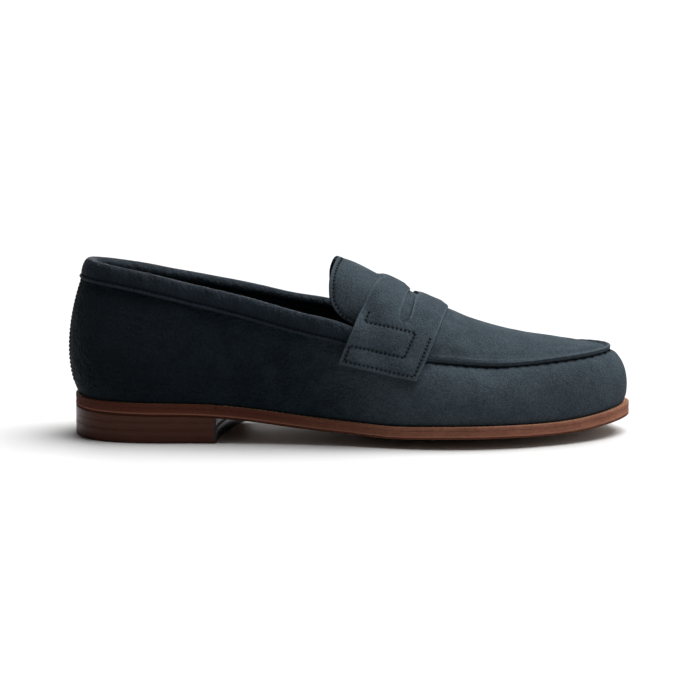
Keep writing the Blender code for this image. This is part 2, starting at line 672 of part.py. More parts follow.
def build_strap():
    """The saddle strap over the instep, with the coin slot across its crest."""
    across = [-1, -0.88, -0.76, -0.64, -0.53, -SLOT_REACH, -0.34, -0.25, -0.16, -0.08, 0.0]
    across = across + [-a for a in reversed(across[:-1])]
    widths = [0.0, 0.18, 0.34, 0.5, 0.66, 0.83, 1.0]
    xs = np.linspace(along(0.40), along(0.70), 31)
    paths = np.array([strap_path(x, 60) for x in xs])
    steps = np.linspace(-1, 1, paths.shape[1])
    slot_middle, slot_rows = 0.42, (2, 3)
    points = []
    for a in across:
        rear, front = strap_rear(abs(a)), strap_front(abs(a))
        opening = STRAP_SLOT_MIDDLE + (STRAP_SLOT_ENDS - STRAP_SLOT_MIDDLE) * min(abs(a) / SLOT_REACH, 1.0)
        row = []
        for k, w in enumerate(widths):
            x = rear + (front - rear) * w
            if k in slot_rows:
                x = rear + (front - rear) * slot_middle + opening / 2 * (1 if k == slot_rows[1] else -1)
            line = [[np.interp(x, xs, paths[:, i, k2]) for k2 in (0, 1)] for i in range(len(steps))]
            line = np.array(line)
            y, z = (np.interp(a * STRAP_REACH, steps, line[:, k2]) for k2 in (0, 1))
            row.append((x, y, z))
        points.append(row)
    mesh = grid_mesh("saddle_strap", np.array(points)[::-1])
    made = bmesh.new()
    made.from_mesh(mesh)
    columns = len(widths)
    slot_half = across.index(-SLOT_REACH)
    made.faces.ensure_lookup_table()
    faces_per_row = columns - 1
    cut = []
    for i in range(slot_half, len(across) - 1 - slot_half):
        cut.append(made.faces[i * faces_per_row + slot_rows[0]])
    bmesh.ops.delete(made, geom=cut, context="FACES")
    made.to_mesh(mesh)
    made.free()
    shade(mesh)
    obj = new_object("saddle_strap", mesh, "nubuck")
    solid = obj.modifiers.new("leather", "SOLIDIFY")
    solid.thickness, solid.offset, solid.use_even_offset = STRAP * MM, -1, True


def build_collar():
    """The folded band round the opening: outside, over the edge and down inside."""
    stations = [u for u in STATIONS if u >= 2 - COLLAR_END] + [u for u in STATIONS if u <= COLLAR_END]
    inside = lambda u: lining_depth(u) + LINING + GAP
    rows = []
    for u in stations:
        i = STATIONS.index(u)
        top, below = WALL[i, -1], WALL[i, -2]
        normal, down = WALL_NORMALS[i, -1], below - top
        down = down / np.linalg.norm(down)
        rise, skin = -down * COLLAR_SKIN, COLLAR_SKIN
        depth = inside(u) + COLLAR
        rows.append([
            top + down * COLLAR_DROP + normal * skin, top + down * COLLAR_DROP / 2 + normal * skin,
            top + normal * skin, top + rise + normal * (skin - 1.0), top + rise - normal * (depth - 1.2),
            top - normal * depth, top + down * COLLAR_INNER_DROP - normal * depth,
        ])
    shell("collar_band", pulled_in(np.array(rows), GAP), COLLAR, "nubuck")


# ---- Materials and assembly ----------------------------------------------------------------
MATERIALS = {
    "nubuck": ((0.024, 0.034, 0.043), 0.92, 0.0),
    "lining_leather": ((0.012, 0.016, 0.021), 0.6, 0.0),
    "sole_leather": ((0.14, 0.062, 0.042), 0.55, 0.0),
    "insole_leather": ((0.42, 0.27, 0.16), 0.7, 0.0),
    "stiffener": ((0.45, 0.38, 0.28), 0.8, 0.0),
    "cork": ((0.35, 0.22, 0.12), 0.95, 0.0),
    "spring_steel": ((0.45, 0.45, 0.47), 0.35, 1.0),
    "brass": ((0.65, 0.45, 0.18), 0.35, 1.0),
}


def main():
    for obj in list(bpy.data.objects):
        bpy.data.objects.remove(obj)
    for name in (COLLECTION, "cutters"):
        bpy.context.scene.collection.children.link(bpy.data.collections.new(name))
    for name, (colour, roughness, metallic) in MATERIALS.items():
        material = bpy.data.materials.new(name)
        material.use_nodes = True
        shader = material.node_tree.nodes["Principled BSDF"]
        shader.inputs["Base Color"].default_value = (*colour, 1.0)
        shader.inputs["Roughness"].default_value = roughness
        shader.inputs["Metallic"].default_value = metallic
    build_sole()
    build_heel()
    build_wall()
    build_apron()
    build_tongue()
    build_strap()
    build_collar()


main()
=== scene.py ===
"""Penny loafer, right foot: the looks of each piece, drawn over the packed frame.

Frame: +X towards the toe, +Y towards the inner side of the foot, +Z up, the floor at Z = 0.
Shapes are worked out in millimetres and turned to metres when a mesh is made.
"""

import math

import bmesh
import bpy
import numpy as np
from bpy.props import FloatProperty, FloatVectorProperty, PointerProperty
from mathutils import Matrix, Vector


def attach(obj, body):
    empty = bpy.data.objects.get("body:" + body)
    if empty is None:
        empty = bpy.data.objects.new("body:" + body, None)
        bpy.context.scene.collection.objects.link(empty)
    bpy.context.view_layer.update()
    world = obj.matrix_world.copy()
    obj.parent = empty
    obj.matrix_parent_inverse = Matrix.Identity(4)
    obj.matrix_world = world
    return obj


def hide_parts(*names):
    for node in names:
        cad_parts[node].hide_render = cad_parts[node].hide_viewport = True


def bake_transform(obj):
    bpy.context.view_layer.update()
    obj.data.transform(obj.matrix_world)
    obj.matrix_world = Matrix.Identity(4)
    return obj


bl_info = {
    "name": "Penny Loafer",
    "version": (1, 0, 0),
    "blender": (4, 5, 0),
    "location": "View3D > Sidebar > Loafer",
    "description": "Makes a leather-soled penny loafer, piece by piece, on its packed frame",
    "category": "Add Mesh",
}

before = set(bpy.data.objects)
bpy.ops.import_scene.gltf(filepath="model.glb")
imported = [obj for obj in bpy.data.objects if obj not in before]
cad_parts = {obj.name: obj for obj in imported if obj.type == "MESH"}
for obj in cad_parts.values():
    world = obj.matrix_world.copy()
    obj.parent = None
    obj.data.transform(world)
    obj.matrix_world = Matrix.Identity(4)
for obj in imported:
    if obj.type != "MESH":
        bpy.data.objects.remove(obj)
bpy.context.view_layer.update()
MM = 0.001

# ---- Driving sizes, the frame's own, in millimetres ------------------------------------------
LENGTH = 300.0
BALL_WIDTH = 103.0
HEEL_WIDTH = 67.0
WAIST_LATERAL = 36.0
WAIST_MEDIAL = 30.0
BACK_HEIGHT = 93.0
VAMP_HEIGHT = 43.4
COUNTER_BULGE = 3.0
TOE_SHIFT = 4.0
HEEL_HEIGHT = 15.0
BREAST_HEIGHT = 13.2
TOE_SPRING = 9.3
TREAD_CROWN = 5.0
OUTSOLE = 4.3
WELT = 2.2
INSOLE = 2.5
SOCK = 1.0
UPPER = 1.6
LINING = 1.0
STIFFENER = 1.0
STRAP = 1.6
APRON = 2.0
TOP_PIECE = 6.4
LOWER_LIFT = 3.9
GAP = 0.3
LOOSE = 0.6
WELT_REVEAL = 3.0
HEEL_REVEAL = 1.6
LASTING_MARGIN = 9.0
APRON_LIP = 2.6
COLLAR_SKIN = 1.45
COLLAR_END = 0.507
STRAP_WIDTH = 36.0
STRAP_REACH = 0.82
STRAP_CLEARANCE = 1.0
PIN_INSET = 8.0
SEAM_V = 0.85
APRON_START = 0.575
BREAST_U = 0.278
MEDIAL_BREAST_SHARE = 0.308
BREAST_HOLLOW = 2.6

BACK = -LENGTH / 2 + COUNTER_BULGE
TIP = LENGTH / 2
SOLE_LENGTH = TIP - BACK
HALF_BALL = BALL_WIDTH / 2
HALF_HEEL = HEEL_WIDTH / 2


def along(share):
    """X of a place given as its share of the sole's length from the heel."""
    return BACK + share * SOLE_LENGTH


def unit(v):
    return v / np.maximum(np.linalg.norm(v, axis=-1, keepdims=True), 1e-9)


def smooth(x, low, high):
    """0 below low, 1 above high and an easy curve between."""
    t = np.clip((np.asarray(x, float) - low) / (high - low), 0, 1)
    return t * t * (3 - 2 * t)


def bump(x, centre, width):
    """1 at the centre, falling away to each side."""
    return np.exp(-(((x - centre) / width) ** 2))


def hump(x, low, high):
    """0 outside low and high, rising to 1 half-way between."""
    return np.clip(np.sin(math.pi * np.clip((x - low) / (high - low), 0, 1)), 0, 1)


# ---- Curves ----------------------------------------------------------------------------------
class Spline:
    """A smooth cubic through the given values, read at one place or at many."""

    def __init__(self, knots, values, closed=False):
        self.t = np.array(knots, float)
        self.p = np.array(values, float).reshape(len(knots), -1)
        count, h = len(self.t), np.diff(self.t)
        slope = np.diff(self.p, axis=0) / h[:, None]
        a, b = np.eye(count), np.zeros_like(self.p)
        for i in range(1, count - 1):
            a[i, i - 1 : i + 2] = h[i - 1], 2 * (h[i - 1] + h[i]), h[i]
            b[i] = 6 * (slope[i] - slope[i - 1])
        if closed:
            a[0, [0, 1, -2, -1]] = 2 * (h[0] + h[-1]), h[0], h[-1], 0
            b[0] = 6 * (slope[0] - slope[-1])
            a[-1, 0], a[-1, -1] = 1, -1
        self.m = np.linalg.solve(a, b)
        self.h = h

    def __call__(self, t):
        t = np.asarray(t, float)
        i = np.clip(np.searchsorted(self.t, t, side="right") - 1, 0, len(self.h) - 1)
        h, left, right = self.h[i], t - self.t[i], self.t[i + 1] - t
        h, left, right = h[..., None], left[..., None], right[..., None]
        low, high = self.p[i] / h - self.m[i] * h / 6, self.p[i + 1] / h - self.m[i + 1] * h / 6
        value = (self.m[i] * right**3 + self.m[i + 1] * left**3) / (6 * h) + low * right + high * left
        return value if self.p.shape[1] > 1 else value[..., 0]


def profile(*points):
    """A height or width given at shares of the sole's length, read by X."""
    shares, values = zip(*points)
    return Spline([along(s) for s in shares], values)


def ring(lateral, medial=None):
    """A value round the shoe, given at u from the back seam, 0, to the toe, 1, and on to 2."""
    medial = medial or [(u, v if np.isscalar(v) else (v[0], -v[1], *v[2:])) for u, v in lateral[1:-1]]
    knots = [u for u, _ in lateral] + [2 - u for u, _ in reversed(medial)] + [2]
    values = [v for _, v in lateral] + [v for _, v in reversed(medial)] + [lateral[0][1]]
    return Spline(knots, values, closed=True)


# ---- The sole's outline and levels -----------------------------------------------------------
LATERAL_EDGE = [
    (0.0, 0.0), (0.034, 0.70 * HALF_HEEL), (0.115, 0.985 * HALF_HEEL), (0.21, 1.01 * HALF_HEEL),
    (0.36, WAIST_LATERAL), (0.49, 0.80 * HALF_BALL), (0.60, 0.955 * HALF_BALL), (0.69, HALF_BALL),
    (0.785, 0.93 * HALF_BALL), (0.87, 0.745 * HALF_BALL), (0.945, 0.47 * HALF_BALL),
]
MEDIAL_EDGE = [
    (0.034, 0.70 * HALF_HEEL), (0.115, 0.97 * HALF_HEEL), (0.22, 0.955 * HALF_HEEL),
    (0.35, WAIST_MEDIAL), (0.47, 0.62 * HALF_BALL), (0.585, 0.84 * HALF_BALL), (0.70, 0.985 * HALF_BALL),
    (0.80, 0.985 * HALF_BALL), (0.88, 0.875 * HALF_BALL), (0.95, 0.63 * HALF_BALL),
]


def sole_edge():
    """The outline as one closed spline over u, with equal u for equal length along each side."""
    lateral = [(along(s), -w) for s, w in LATERAL_EDGE]
    medial = [(along(s), w) for s, w in reversed(MEDIAL_EDGE)]
    points = np.array(lateral + [(TIP, TOE_SHIFT)] + medial + [lateral[0]])
    chord = np.concatenate([[0], np.cumsum(np.linalg.norm(np.diff(points, axis=0), axis=1))])
    raw, tip = Spline(chord, points, closed=True), chord[len(lateral)]
    us, places = [], []
    for start, end, first in ((0, tip, 0), (tip, chord[-1], 1)):
        dense = raw(np.linspace(start, end, 241))
        run = np.concatenate([[0], np.cumsum(np.linalg.norm(np.diff(dense, axis=0), axis=1))])
        us.extend(first + run[:-1] / run[-1])
        places.extend(dense[:-1])
    return Spline(us + [2], places + [places[0]], closed=True)


EDGE = sole_edge()


def outward(u):
    """Unit vector in plan, square to the sole's edge and pointing away from the shoe."""
    d = EDGE((u + 0.004) % 2) - EDGE((u - 0.004) % 2)
    return unit(np.stack([d[..., 1], -d[..., 0]], axis=-1))


def inset(u, distance):
    u = np.asarray(u, float) % 2
    return EDGE(u) - outward(u) * np.asarray(distance, float)[..., None]


TREAD_CENTRE = profile(
    (0.0, HEEL_HEIGHT), (0.13, HEEL_HEIGHT - 0.8), (0.256, BREAST_HEIGHT), (0.34, 0.77 * BREAST_HEIGHT),
    (0.43, 0.43 * BREAST_HEIGHT), (0.50, 0.22 * BREAST_HEIGHT), (0.56, 0.7), (0.635, 0.0), (0.70, 0.2),
    (0.765, 0.108 * TOE_SPRING), (0.833, 0.27 * TOE_SPRING), (0.90, 0.50 * TOE_SPRING),
    (0.95, 0.74 * TOE_SPRING), (1.0, TOE_SPRING),
)
CROWN = profile(
    (0.0, 0.0), (0.15, 0.0), (0.26, 0.0), (0.43, 0.72 * TREAD_CROWN), (0.56, TREAD_CROWN),
    (0.70, TREAD_CROWN), (0.80, 0.86 * TREAD_CROWN), (0.90, 0.55 * TREAD_CROWN), (1.0, 0.35 * TREAD_CROWN),
)


def tread(x, y):
    """Height of the sole's underside."""
    return np.maximum(TREAD_CENTRE(x), 0.0) + np.maximum(CROWN(x), 0.0) * (y / HALF_BALL) ** 2


def welt_low(x, y):
    return tread(x, y) + OUTSOLE + GAP


def seat(x, y):
    """Height of the surface that the upper stands on."""
    return welt_low(x, y) + WELT + GAP


REVEAL = ring([(0.0, HEEL_REVEAL), (0.15, HEEL_REVEAL), (0.35, 2.0), (0.6, WELT_REVEAL), (1.0, WELT_REVEAL)])

# ---- The upper's lines -----------------------------------------------------------------------
TOP = ring([
    (0.0, (BACK + 7.6, 0.0, BACK_HEIGHT)),
    (0.045, (along(0.042), -8.8, 92.0)), (0.11, (along(0.103), -17.0, 89.0)),
    (0.20, (along(0.19), -23.4, 83.8)), (0.33, (along(0.315), -30.8, 75.9)),
    (0.44, (along(0.425), -35.7, 67.6)), (0.51, (along(0.50), -36.5, 61.3)),
    (0.575, (along(0.575), -32.8, 49.8)), (0.65, (along(0.655), -28.8, 0.990 * VAMP_HEIGHT + 1.4)),
    (0.74, (along(0.75), -25.0, 0.951 * VAMP_HEIGHT)), (0.83, (along(0.835), -20.3, 0.968 * VAMP_HEIGHT)),
    (0.91, (along(0.905), -12.5, 1.0 * VAMP_HEIGHT)), (1.0, (along(0.945), 3.0, 1.017 * VAMP_HEIGHT)),
], [
    (0.045, (along(0.042), 8.8, 92.0)), (0.11, (along(0.103), 17.0, 88.5)),
    (0.20, (along(0.19), 23.4, 82.7)), (0.33, (along(0.315), 30.3, 74.5)),
    (0.44, (along(0.425), 34.0, 67.0)), (0.51, (along(0.50), 35.0, 61.3)),
    (0.575, (along(0.575), 31.8, 49.8)), (0.65, (along(0.655), 30.0, 0.990 * VAMP_HEIGHT + 2.4)),
    (0.74, (along(0.75), 27.5, 0.951 * VAMP_HEIGHT + 1.0)), (0.83, (along(0.835), 24.0, 0.968 * VAMP_HEIGHT)),
    (0.91, (along(0.905), 17.5, 1.0 * VAMP_HEIGHT)),
])
LOW_OUT = ring(
    [(0.0, 8.2), (0.15, 6.5), (0.33, 5.0), (0.5, 4.0), (0.65, 4.5), (0.85, 4.6), (1.0, 4.6)],
    [(0.15, 6.0), (0.33, 8.0), (0.5, 8.5), (0.65, 5.5), (0.85, 4.6)],
)
LOW_UP = ring([
    (0.0, 18.0), (0.15, 20.0), (0.33, 20.0), (0.5, 15.0), (0.65, 11.5), (0.85, 10.7), (1.0, 10.7),
])
HIGH_OUT = ring([
    (0.0, 10.7), (0.15, 9.0), (0.33, 5.0), (0.5, 5.0), (0.65, 14.0), (0.74, 16.0), (0.85, 15.5), (1.0, 14.0),
])
HIGH_DOWN = ring([
    (0.0, 26.0), (0.15, 26.0), (0.33, 24.0), (0.5, 17.0), (0.6, 4.0), (0.7, 0.5), (0.8, -0.7),
    (0.9, -1.8), (1.0, -2.2),
])
UP = np.array([0.0, 0.0, 1.0])


def feather(u):
    place = inset(u, REVEAL(u))
    return np.concatenate([place, seat(place[..., 0], place[..., 1])[..., None]], axis=-1)


def wall(u, v):
    """The upper's outer surface: v runs from the welt, 0, to the top rail, 1. u and v broadcast."""
    u, v = np.asarray(u, float) % 2, np.asarray(v, float)[..., None]
    low, high, out = feather(u), TOP(u), outward(u)
    out = np.concatenate([out, np.zeros(out.shape[:-1] + (1,))], axis=-1)
    a = low + out * LOW_OUT(u)[..., None] + UP * LOW_UP(u)[..., None]
    b = high + out * HIGH_OUT(u)[..., None] - UP * HIGH_DOWN(u)[..., None]
    w = 1 - v
    return w**3 * low + 3 * w * w * v * a + 3 * w * v * v * b + v**3 * high


def wall_normal(u, v):
    across = wall(u + 0.002, v) - wall(u - 0.002, v)
    v = np.asarray(v, float)
    high, low = np.minimum(v + 0.01, 1.0), np.maximum(v - 0.01, 0.0)
    return unit(np.cross(across, wall(u, high) - wall(u, low)))


# ---- The instep ------------------------------------------------------------------------------
CREST = profile(
    (0.455, 96.0), (0.475, 94.3), (0.513, 89.9), (0.55, 84.2), (0.60, 76.3), (0.674, 65.9), (0.73, 59.2),
    (0.80, 1.238 * VAMP_HEIGHT), (0.87, 1.155 * VAMP_HEIGHT), (0.93, 1.088 * VAMP_HEIGHT),
    (1.0, 1.07 * VAMP_HEIGHT),
)
ROUNDNESS = profile((0.44, 2.0), (0.56, 1.9), (0.66, 1.45), (0.76, 1.15), (0.86, 1.0), (1.0, 1.0))
RIM_X = [along(share) for share in (0.44, 0.475, 0.51)]
RIM_HALF = (27.8, 29.2, 31.0)
RIM_HEIGHT = (63.5, 61.5, 60.0)
STRAP_CREST = along(0.5585)
TONGUE_REACH = (
    (-0.245, 27.1), (0.0, 25.3), (0.245, 27.1), (0.431, 28.9), (0.552, 29.7), (0.643, 29.8), (0.739, 29.4),
    (0.813, 27.8), (0.872, 25.2), (0.919, 21.8), (0.965, 16.5),
)


def apron_rim(u):
    """The apron's edge, which lifts a little where it runs out under the strap."""
    u = np.asarray(u, float)
    run_out = np.clip((APRON_START + 0.05 - np.minimum(u, 2 - u)) / 0.05, 0, 1)
    return wall(u, np.full(u.shape, SEAM_V)) + UP * (APRON_LIP + run_out)[..., None]


def rim_line(side):
    """The lower edge of the instep by X: the tongue's sides, running on into the apron's rim."""
    free = [(side * half, height) for half, height in zip(RIM_HALF, RIM_HEIGHT)]
    seam = [apron_rim(u if side < 0 else 2 - u) for u in (APRON_START, 0.61, 0.65, 0.70, 0.76)]
    return Spline(RIM_X + [p[0] for p in seam], free + [(p[1], p[2]) for p in seam])


RIM_LEFT, RIM_RIGHT = rim_line(-1.0), rim_line(1.0)


def arch_height(share, x, left, right):
    """Height of the instep's arch at X, between side heights, at a share from the crest."""
    rise = np.maximum(1 - np.abs(share) ** 2.1, 0.0) ** (1 / ROUNDNESS(x))
    return (left + right) / 2 + (right - left) / 2 * share + (CREST(x) - (left + right) / 2) * rise


def tongue_point(x, share):
    left, right = RIM_LEFT(x), RIM_RIGHT(x)
    y = (left[..., 0] + right[..., 0]) / 2 + (right[..., 0] - left[..., 0]) / 2 * share
    z = arch_height(share, x, left[..., 1], right[..., 1])
    return np.stack([x + 0 * y, y, z], axis=-1)


def stiffened(u):
    f = np.minimum(u % 2, 2 - u % 2)
    return np.maximum(np.clip((0.40 - f) / 0.10, 0, 1), np.clip((f - 0.66) / 0.10, 0, 1))


def lining_depth(u):
    return UPPER + GAP + stiffened(u) * (STIFFENER + GAP)


# ---- Mesh making -----------------------------------------------------------------------------
RIM_STEPS = 3  # rows of faces round each corner of a cut edge


def waves(points, length, seed, count=28, stretch=(1, 1, 1)):
    """A gentle uneven swell of about -1 to 1 over points in millimetres, the same at each run."""
    random = np.random.default_rng(seed)
    way = unit(random.normal(size=(count, 3)))
    way = way * (2 * math.pi / (length * random.uniform(0.7, 1.5, (count, 1))))
    phase = random.uniform(0, 2 * math.pi, count)
    swell = np.sin(np.tensordot(points * np.array(stretch), way.T, axes=1) + phase)
    return swell.sum(axis=-1) / math.sqrt(count)


def grid_normals(points, closed=False):
    if closed:
        du = np.roll(points, -1, axis=0) - np.roll(points, 1, axis=0)
    else:
        du = np.gradient(points, axis=0)
    return unit(np.cross(du, np.gradient(points, axis=1)))


def grid_faces(rows, columns, closed=False, first=0):
    i, j = np.meshgrid(np.arange(rows if closed else rows - 1), np.arange(columns - 1), indexing="ij")
    here, ahead = i.ravel() * columns + j.ravel(), (i.ravel() + 1) % rows * columns + j.ravel()
    return first + np.stack([here, ahead, ahead + 1, here + 1], axis=1)


def weld(points, faces, masks):
    """Points at one place made one, and the faces that collapse dropped."""
    _, kept, index = np.unique(np.round(points, 3), axis=0, return_index=True, return_inverse=True)
    index = index.reshape(-1)
    joined = [tuple(dict.fromkeys(index[list(face)].tolist())) for face in faces]
    return points[kept], [f for f in joined if len(f) > 2], {k: m[kept] for k, m in masks.items()}


def vertex_normals(points, faces):
    total = np.zeros_like(points)
    for size in (3, 4):
        group = np.array([f for f in faces if len(f) == size], int)
        if len(group):
            a, b = points[group[:, 2]] - points[group[:, 0]], points[group[:, -1]] - points[group[:, 1]]
            if size == 3:
                a, b = points[group[:, 1]] - points[group[:, 0]], points[group[:, 2]] - points[group[:, 0]]
            for corner in range(size):
                np.add.at(total, group[:, corner], np.cross(a, b))
    return unit(total)


def borders(faces):
    """The open edges as closed loops of vertices, with the sheet on the left hand."""
    edges = {(f[i], f[(i + 1) % len(f)]) for f in faces for i in range(len(f))}
    following = {a: b for a, b in edges if (b, a) not in edges}
    loops = []
    while following:
        start = next(iter(following))
        loop = [start]
        here = following.pop(start)
        while here != start:
            loop.append(here)
            here = following.pop(here)
        loops.append(np.array(loop))
    return loops


def new_piece(name, points, faces, material, masks=None, sharp=0.9):
    """A mesh object of the piece, in metres, with its masks as vertex attributes."""
    mesh = bpy.data.meshes.new(name)
    mesh.from_pydata((np.asarray(points) * MM).tolist(), [], [tuple(map(int, f)) for f in faces])
    for key, values in (masks or {}).items():
        mesh.attributes.new(key, "FLOAT", "POINT").data.foreach_set("value", np.asarray(values, np.float32))
    made = bmesh.new()
    made.from_mesh(mesh)
    bmesh.ops.remove_doubles(made, verts=made.verts, dist=1e-7)
    bmesh.ops.recalc_face_normals(made, faces=made.faces)
    made.to_mesh(mesh)
    made.free()
    mesh.shade_smooth()
    mesh.set_sharp_from_angle(angle=sharp)
    mesh.materials.append(material)
    obj = bpy.data.objects.new(name, mesh)
    bpy.context.scene.collection.objects.link(obj)
    return obj


def slab(name, points, faces, thickness, material, radius=0.35, masks=None, upright=None):
    """A cut piece of leather: its outer surface, a rounded rim and its inner surface. Where upright
    is 1 the piece is cut straight down, and where it is 0 square to its own surface."""
    masks = {key: np.asarray(mask, float).ravel() for key, mask in (masks or {}).items()}
    if upright is not None:
        masks["upright"] = np.asarray(upright, float).ravel()
    points, faces, masks = weld(np.asarray(points).reshape(-1, 3), faces, masks)
    normals, count = vertex_normals(points, faces), len(points)
    if upright is not None:
        share = masks.pop("upright")[:, None]
        normals = unit(normals * (1 - share) + UP * share)
    radius = min(radius, thickness / 2)
    everything = [points]
    sides, ring_masks, at = [], {key: [] for key in masks}, count
    for loop in borders(faces):
        here, normal = points[loop], normals[loop]
        out = unit(np.cross(np.roll(here, -1, axis=0) - np.roll(here, 1, axis=0), normal))
        angles = [math.pi / 2 * k / RIM_STEPS for k in range(1, RIM_STEPS + 1)]
        offsets = [(radius * math.sin(a), radius * (1 - math.cos(a))) for a in angles]
        offsets += [(o, thickness - d) for o, d in reversed(offsets)]
        size, last = len(loop), loop
        for o, d in offsets:
            everything.append(here + out * o - normal * d)
            for key in masks:
                ring_masks[key].append(masks[key][loop])
            now = np.arange(at, at + size)
            sides.append((last, now))
            last, at = now, at + size
        sides.append((last, loop))
    ring_total = at
    everything.append(points - normals * thickness)
    closing = []
    for last, now in sides:
        below = now + ring_total if now.max() < count else now
        closing += list(zip(last, np.roll(last, -1), np.roll(below, -1), below))
    under = [tuple(ring_total + np.array(f[::-1])) for f in faces]
    rim = np.zeros(ring_total + count)
    rim[count:ring_total] = 1
    full = {key: np.concatenate([masks[key], *ring_masks[key], masks[key]]) for key in masks}
    full["rim"] = rim
    return new_piece(name, np.concatenate(everything), list(faces) + closing + under, material, full)


def swept(name, sections, material, masks=None, sharp=0.9):
    """A closed section carried along a path: sections[i][j], capped at both ends."""
    rows, columns = sections.shape[:2]
    i, j = np.meshgrid(np.arange(rows - 1), np.arange(columns), indexing="ij")
    here, start = i.ravel() * columns, j.ravel()
    ahead, end = here + columns, (start + 1) % columns
    faces = list(np.stack([here + start, ahead + start, ahead + end, here + end], axis=1))
    faces += [tuple(range(columns)), tuple(range((rows - 1) * columns, rows * columns))]
    return new_piece(name, sections.reshape(-1, 3), faces, material, masks, sharp)


def plate(name, plan, low, high, side, material, marks=None, sharp=0.6):
    """A sheet that follows the sole, with a shaped edge. plan holds rows across; the edge's side is
    points of (distance in from the edge, 0 for the lower or 1 for the upper face, height above it)."""
    rows, columns = plan.shape[:2]
    plan = plan.copy()
    first_point, last_point = (np.ptp(plan[end], axis=0).max() < 1e-6 for end in (0, -1))
    loop = [(i, 0) for i in range(rows)]
    loop += [] if last_point else [(rows - 1, j) for j in range(1, columns)]
    loop += [(i, columns - 1) for i in range(rows - 2, 0 if first_point else -1, -1)]
    loop += [] if first_point else [(0, j) for j in range(columns - 2, 0, -1)]
    loop = np.array(loop)
    edge = plan[loop[:, 0], loop[:, 1]]
    tangent = np.roll(edge, -1, axis=0) - np.roll(edge, 1, axis=0)
    out = unit(np.stack([tangent[:, 1], -tangent[:, 0]], axis=1))
    out = out * np.sign(((edge - edge.mean(axis=0)) * out).sum())
    rings = []
    for inwards, face, height in side:
        at = edge - out * inwards
        rings.append(np.column_stack([at, (high if face else low)(at[:, 0], at[:, 1]) + height]))
    caps = []
    for which, surface, level in ((0, low, side[0][2]), (-1, high, side[-1][2])):
        cap = np.dstack([plan, surface(plan[..., 0], plan[..., 1]) + level])
        cap[loop[:, 0], loop[:, 1]] = rings[which]
        if first_point:
            cap[0] = cap[0, 0]
        if last_point:
            cap[-1] = cap[-1, 0]
        caps.append(cap.reshape(-1, 3))
    count, size = rows * columns, len(loop)
    flat = loop[:, 0] * columns + loop[:, 1]
    points = np.concatenate([*caps, *rings[1:-1]])
    chain = [flat] + [2 * count + k * size + np.arange(size) for k in range(len(rings) - 2)] + [flat + count]
    faces = list(grid_faces(rows, columns)) + list(grid_faces(rows, columns, first=count))
    for a, b in zip(chain[:-1], chain[1:]):
        faces += list(zip(a, np.roll(a, -1), np.roll(b, -1), b))
    masks = {"side": np.concatenate([np.zeros(2 * count), np.ones(size * (len(rings) - 2))])}
    masks["side"][flat] = masks["side"][flat + count] = 1
    for key, mark in (marks or {}).items():
        masks[key] = mark(points)
    points, faces, masks = weld(points, faces, masks)
    return new_piece(name, points, faces, material, masks, sharp)


def run_of(points):
    return np.concatenate([[0], np.cumsum(np.linalg.norm(np.diff(points, axis=0), axis=1))])


def spaced(points, normals, pitch):
    """Places at an even pitch along a line of points: each place, the line's way there, the normal."""
    run = run_of(points)
    count = max(int(round(run[-1] / pitch)), 1)
    at = (np.arange(count) + 0.5) * run[-1] / count
    place = np.stack([np.interp(at, run, points[:, k]) for k in range(3)], axis=1)
    normal = unit(np.stack([np.interp(at, run, normals[:, k]) for k in range(3)], axis=1))
    ahead = np.stack([np.interp(at + 0.3, run, points[:, k]) for k in range(3)], axis=1)
    behind = np.stack([np.interp(at - 0.3, run, points[:, k]) for k in range(3)], axis=1)
    return place, unit(ahead - behind), normal


def nearest(points, centres):
    """Distance from each point of a grid to the nearest of some places."""
    flat, centres = points.reshape(-1, 3), np.asarray(centres)
    found = np.empty(len(flat))
    for first in range(0, len(flat), 3000):
        part = flat[first : first + 3000, None]
        found[first : first + 3000] = np.sqrt(((part - centres) ** 2).sum(axis=-1)).min(axis=1)
    return found.reshape(points.shape[:-1])


def sewn_down(surface, normals, line, holes, depth=0.3, dimple=0.45):
    """The surface pulled in along a sewn line, and more at each needle hole."""
    groove = depth * np.exp(-((nearest(surface, line) / 0.9) ** 2))
    dip = dimple * np.exp(-((nearest(surface, holes) / 0.55) ** 2)) if len(holes) else 0
    return surface - normals * (groove + dip)[..., None]


# ---- Shader maths ----------------------------------------------------------------------------
class Field:
    """A shader socket, so that maths on it reads as an expression."""

    def __init__(self, paint, socket):
        self.paint, self.socket = paint, socket

    def math(self, operation, *others):
        return self.paint.node("ShaderNodeMath", {"operation": operation}, {
            i: value for i, value in enumerate((self, *others))})

    def __add__(self, other):
        return self.math("ADD", other)

    __radd__ = __add__

    def __sub__(self, other):
        return self.math("SUBTRACT", other)

    def __rsub__(self, other):
        return self.paint.node("ShaderNodeMath", {"operation": "SUBTRACT"}, {0: other, 1: self})

    def __mul__(self, other):
        return self.math("MULTIPLY", other)

    __rmul__ = __mul__

    def between(self, low, high):
        """0 at low, 1 at high, eased and held outside."""
        return self.paint.node("ShaderNodeMapRange", {"interpolation_type": "SMOOTHSTEP"}, {
            "Value": self, "From Min": low, "From Max": high})


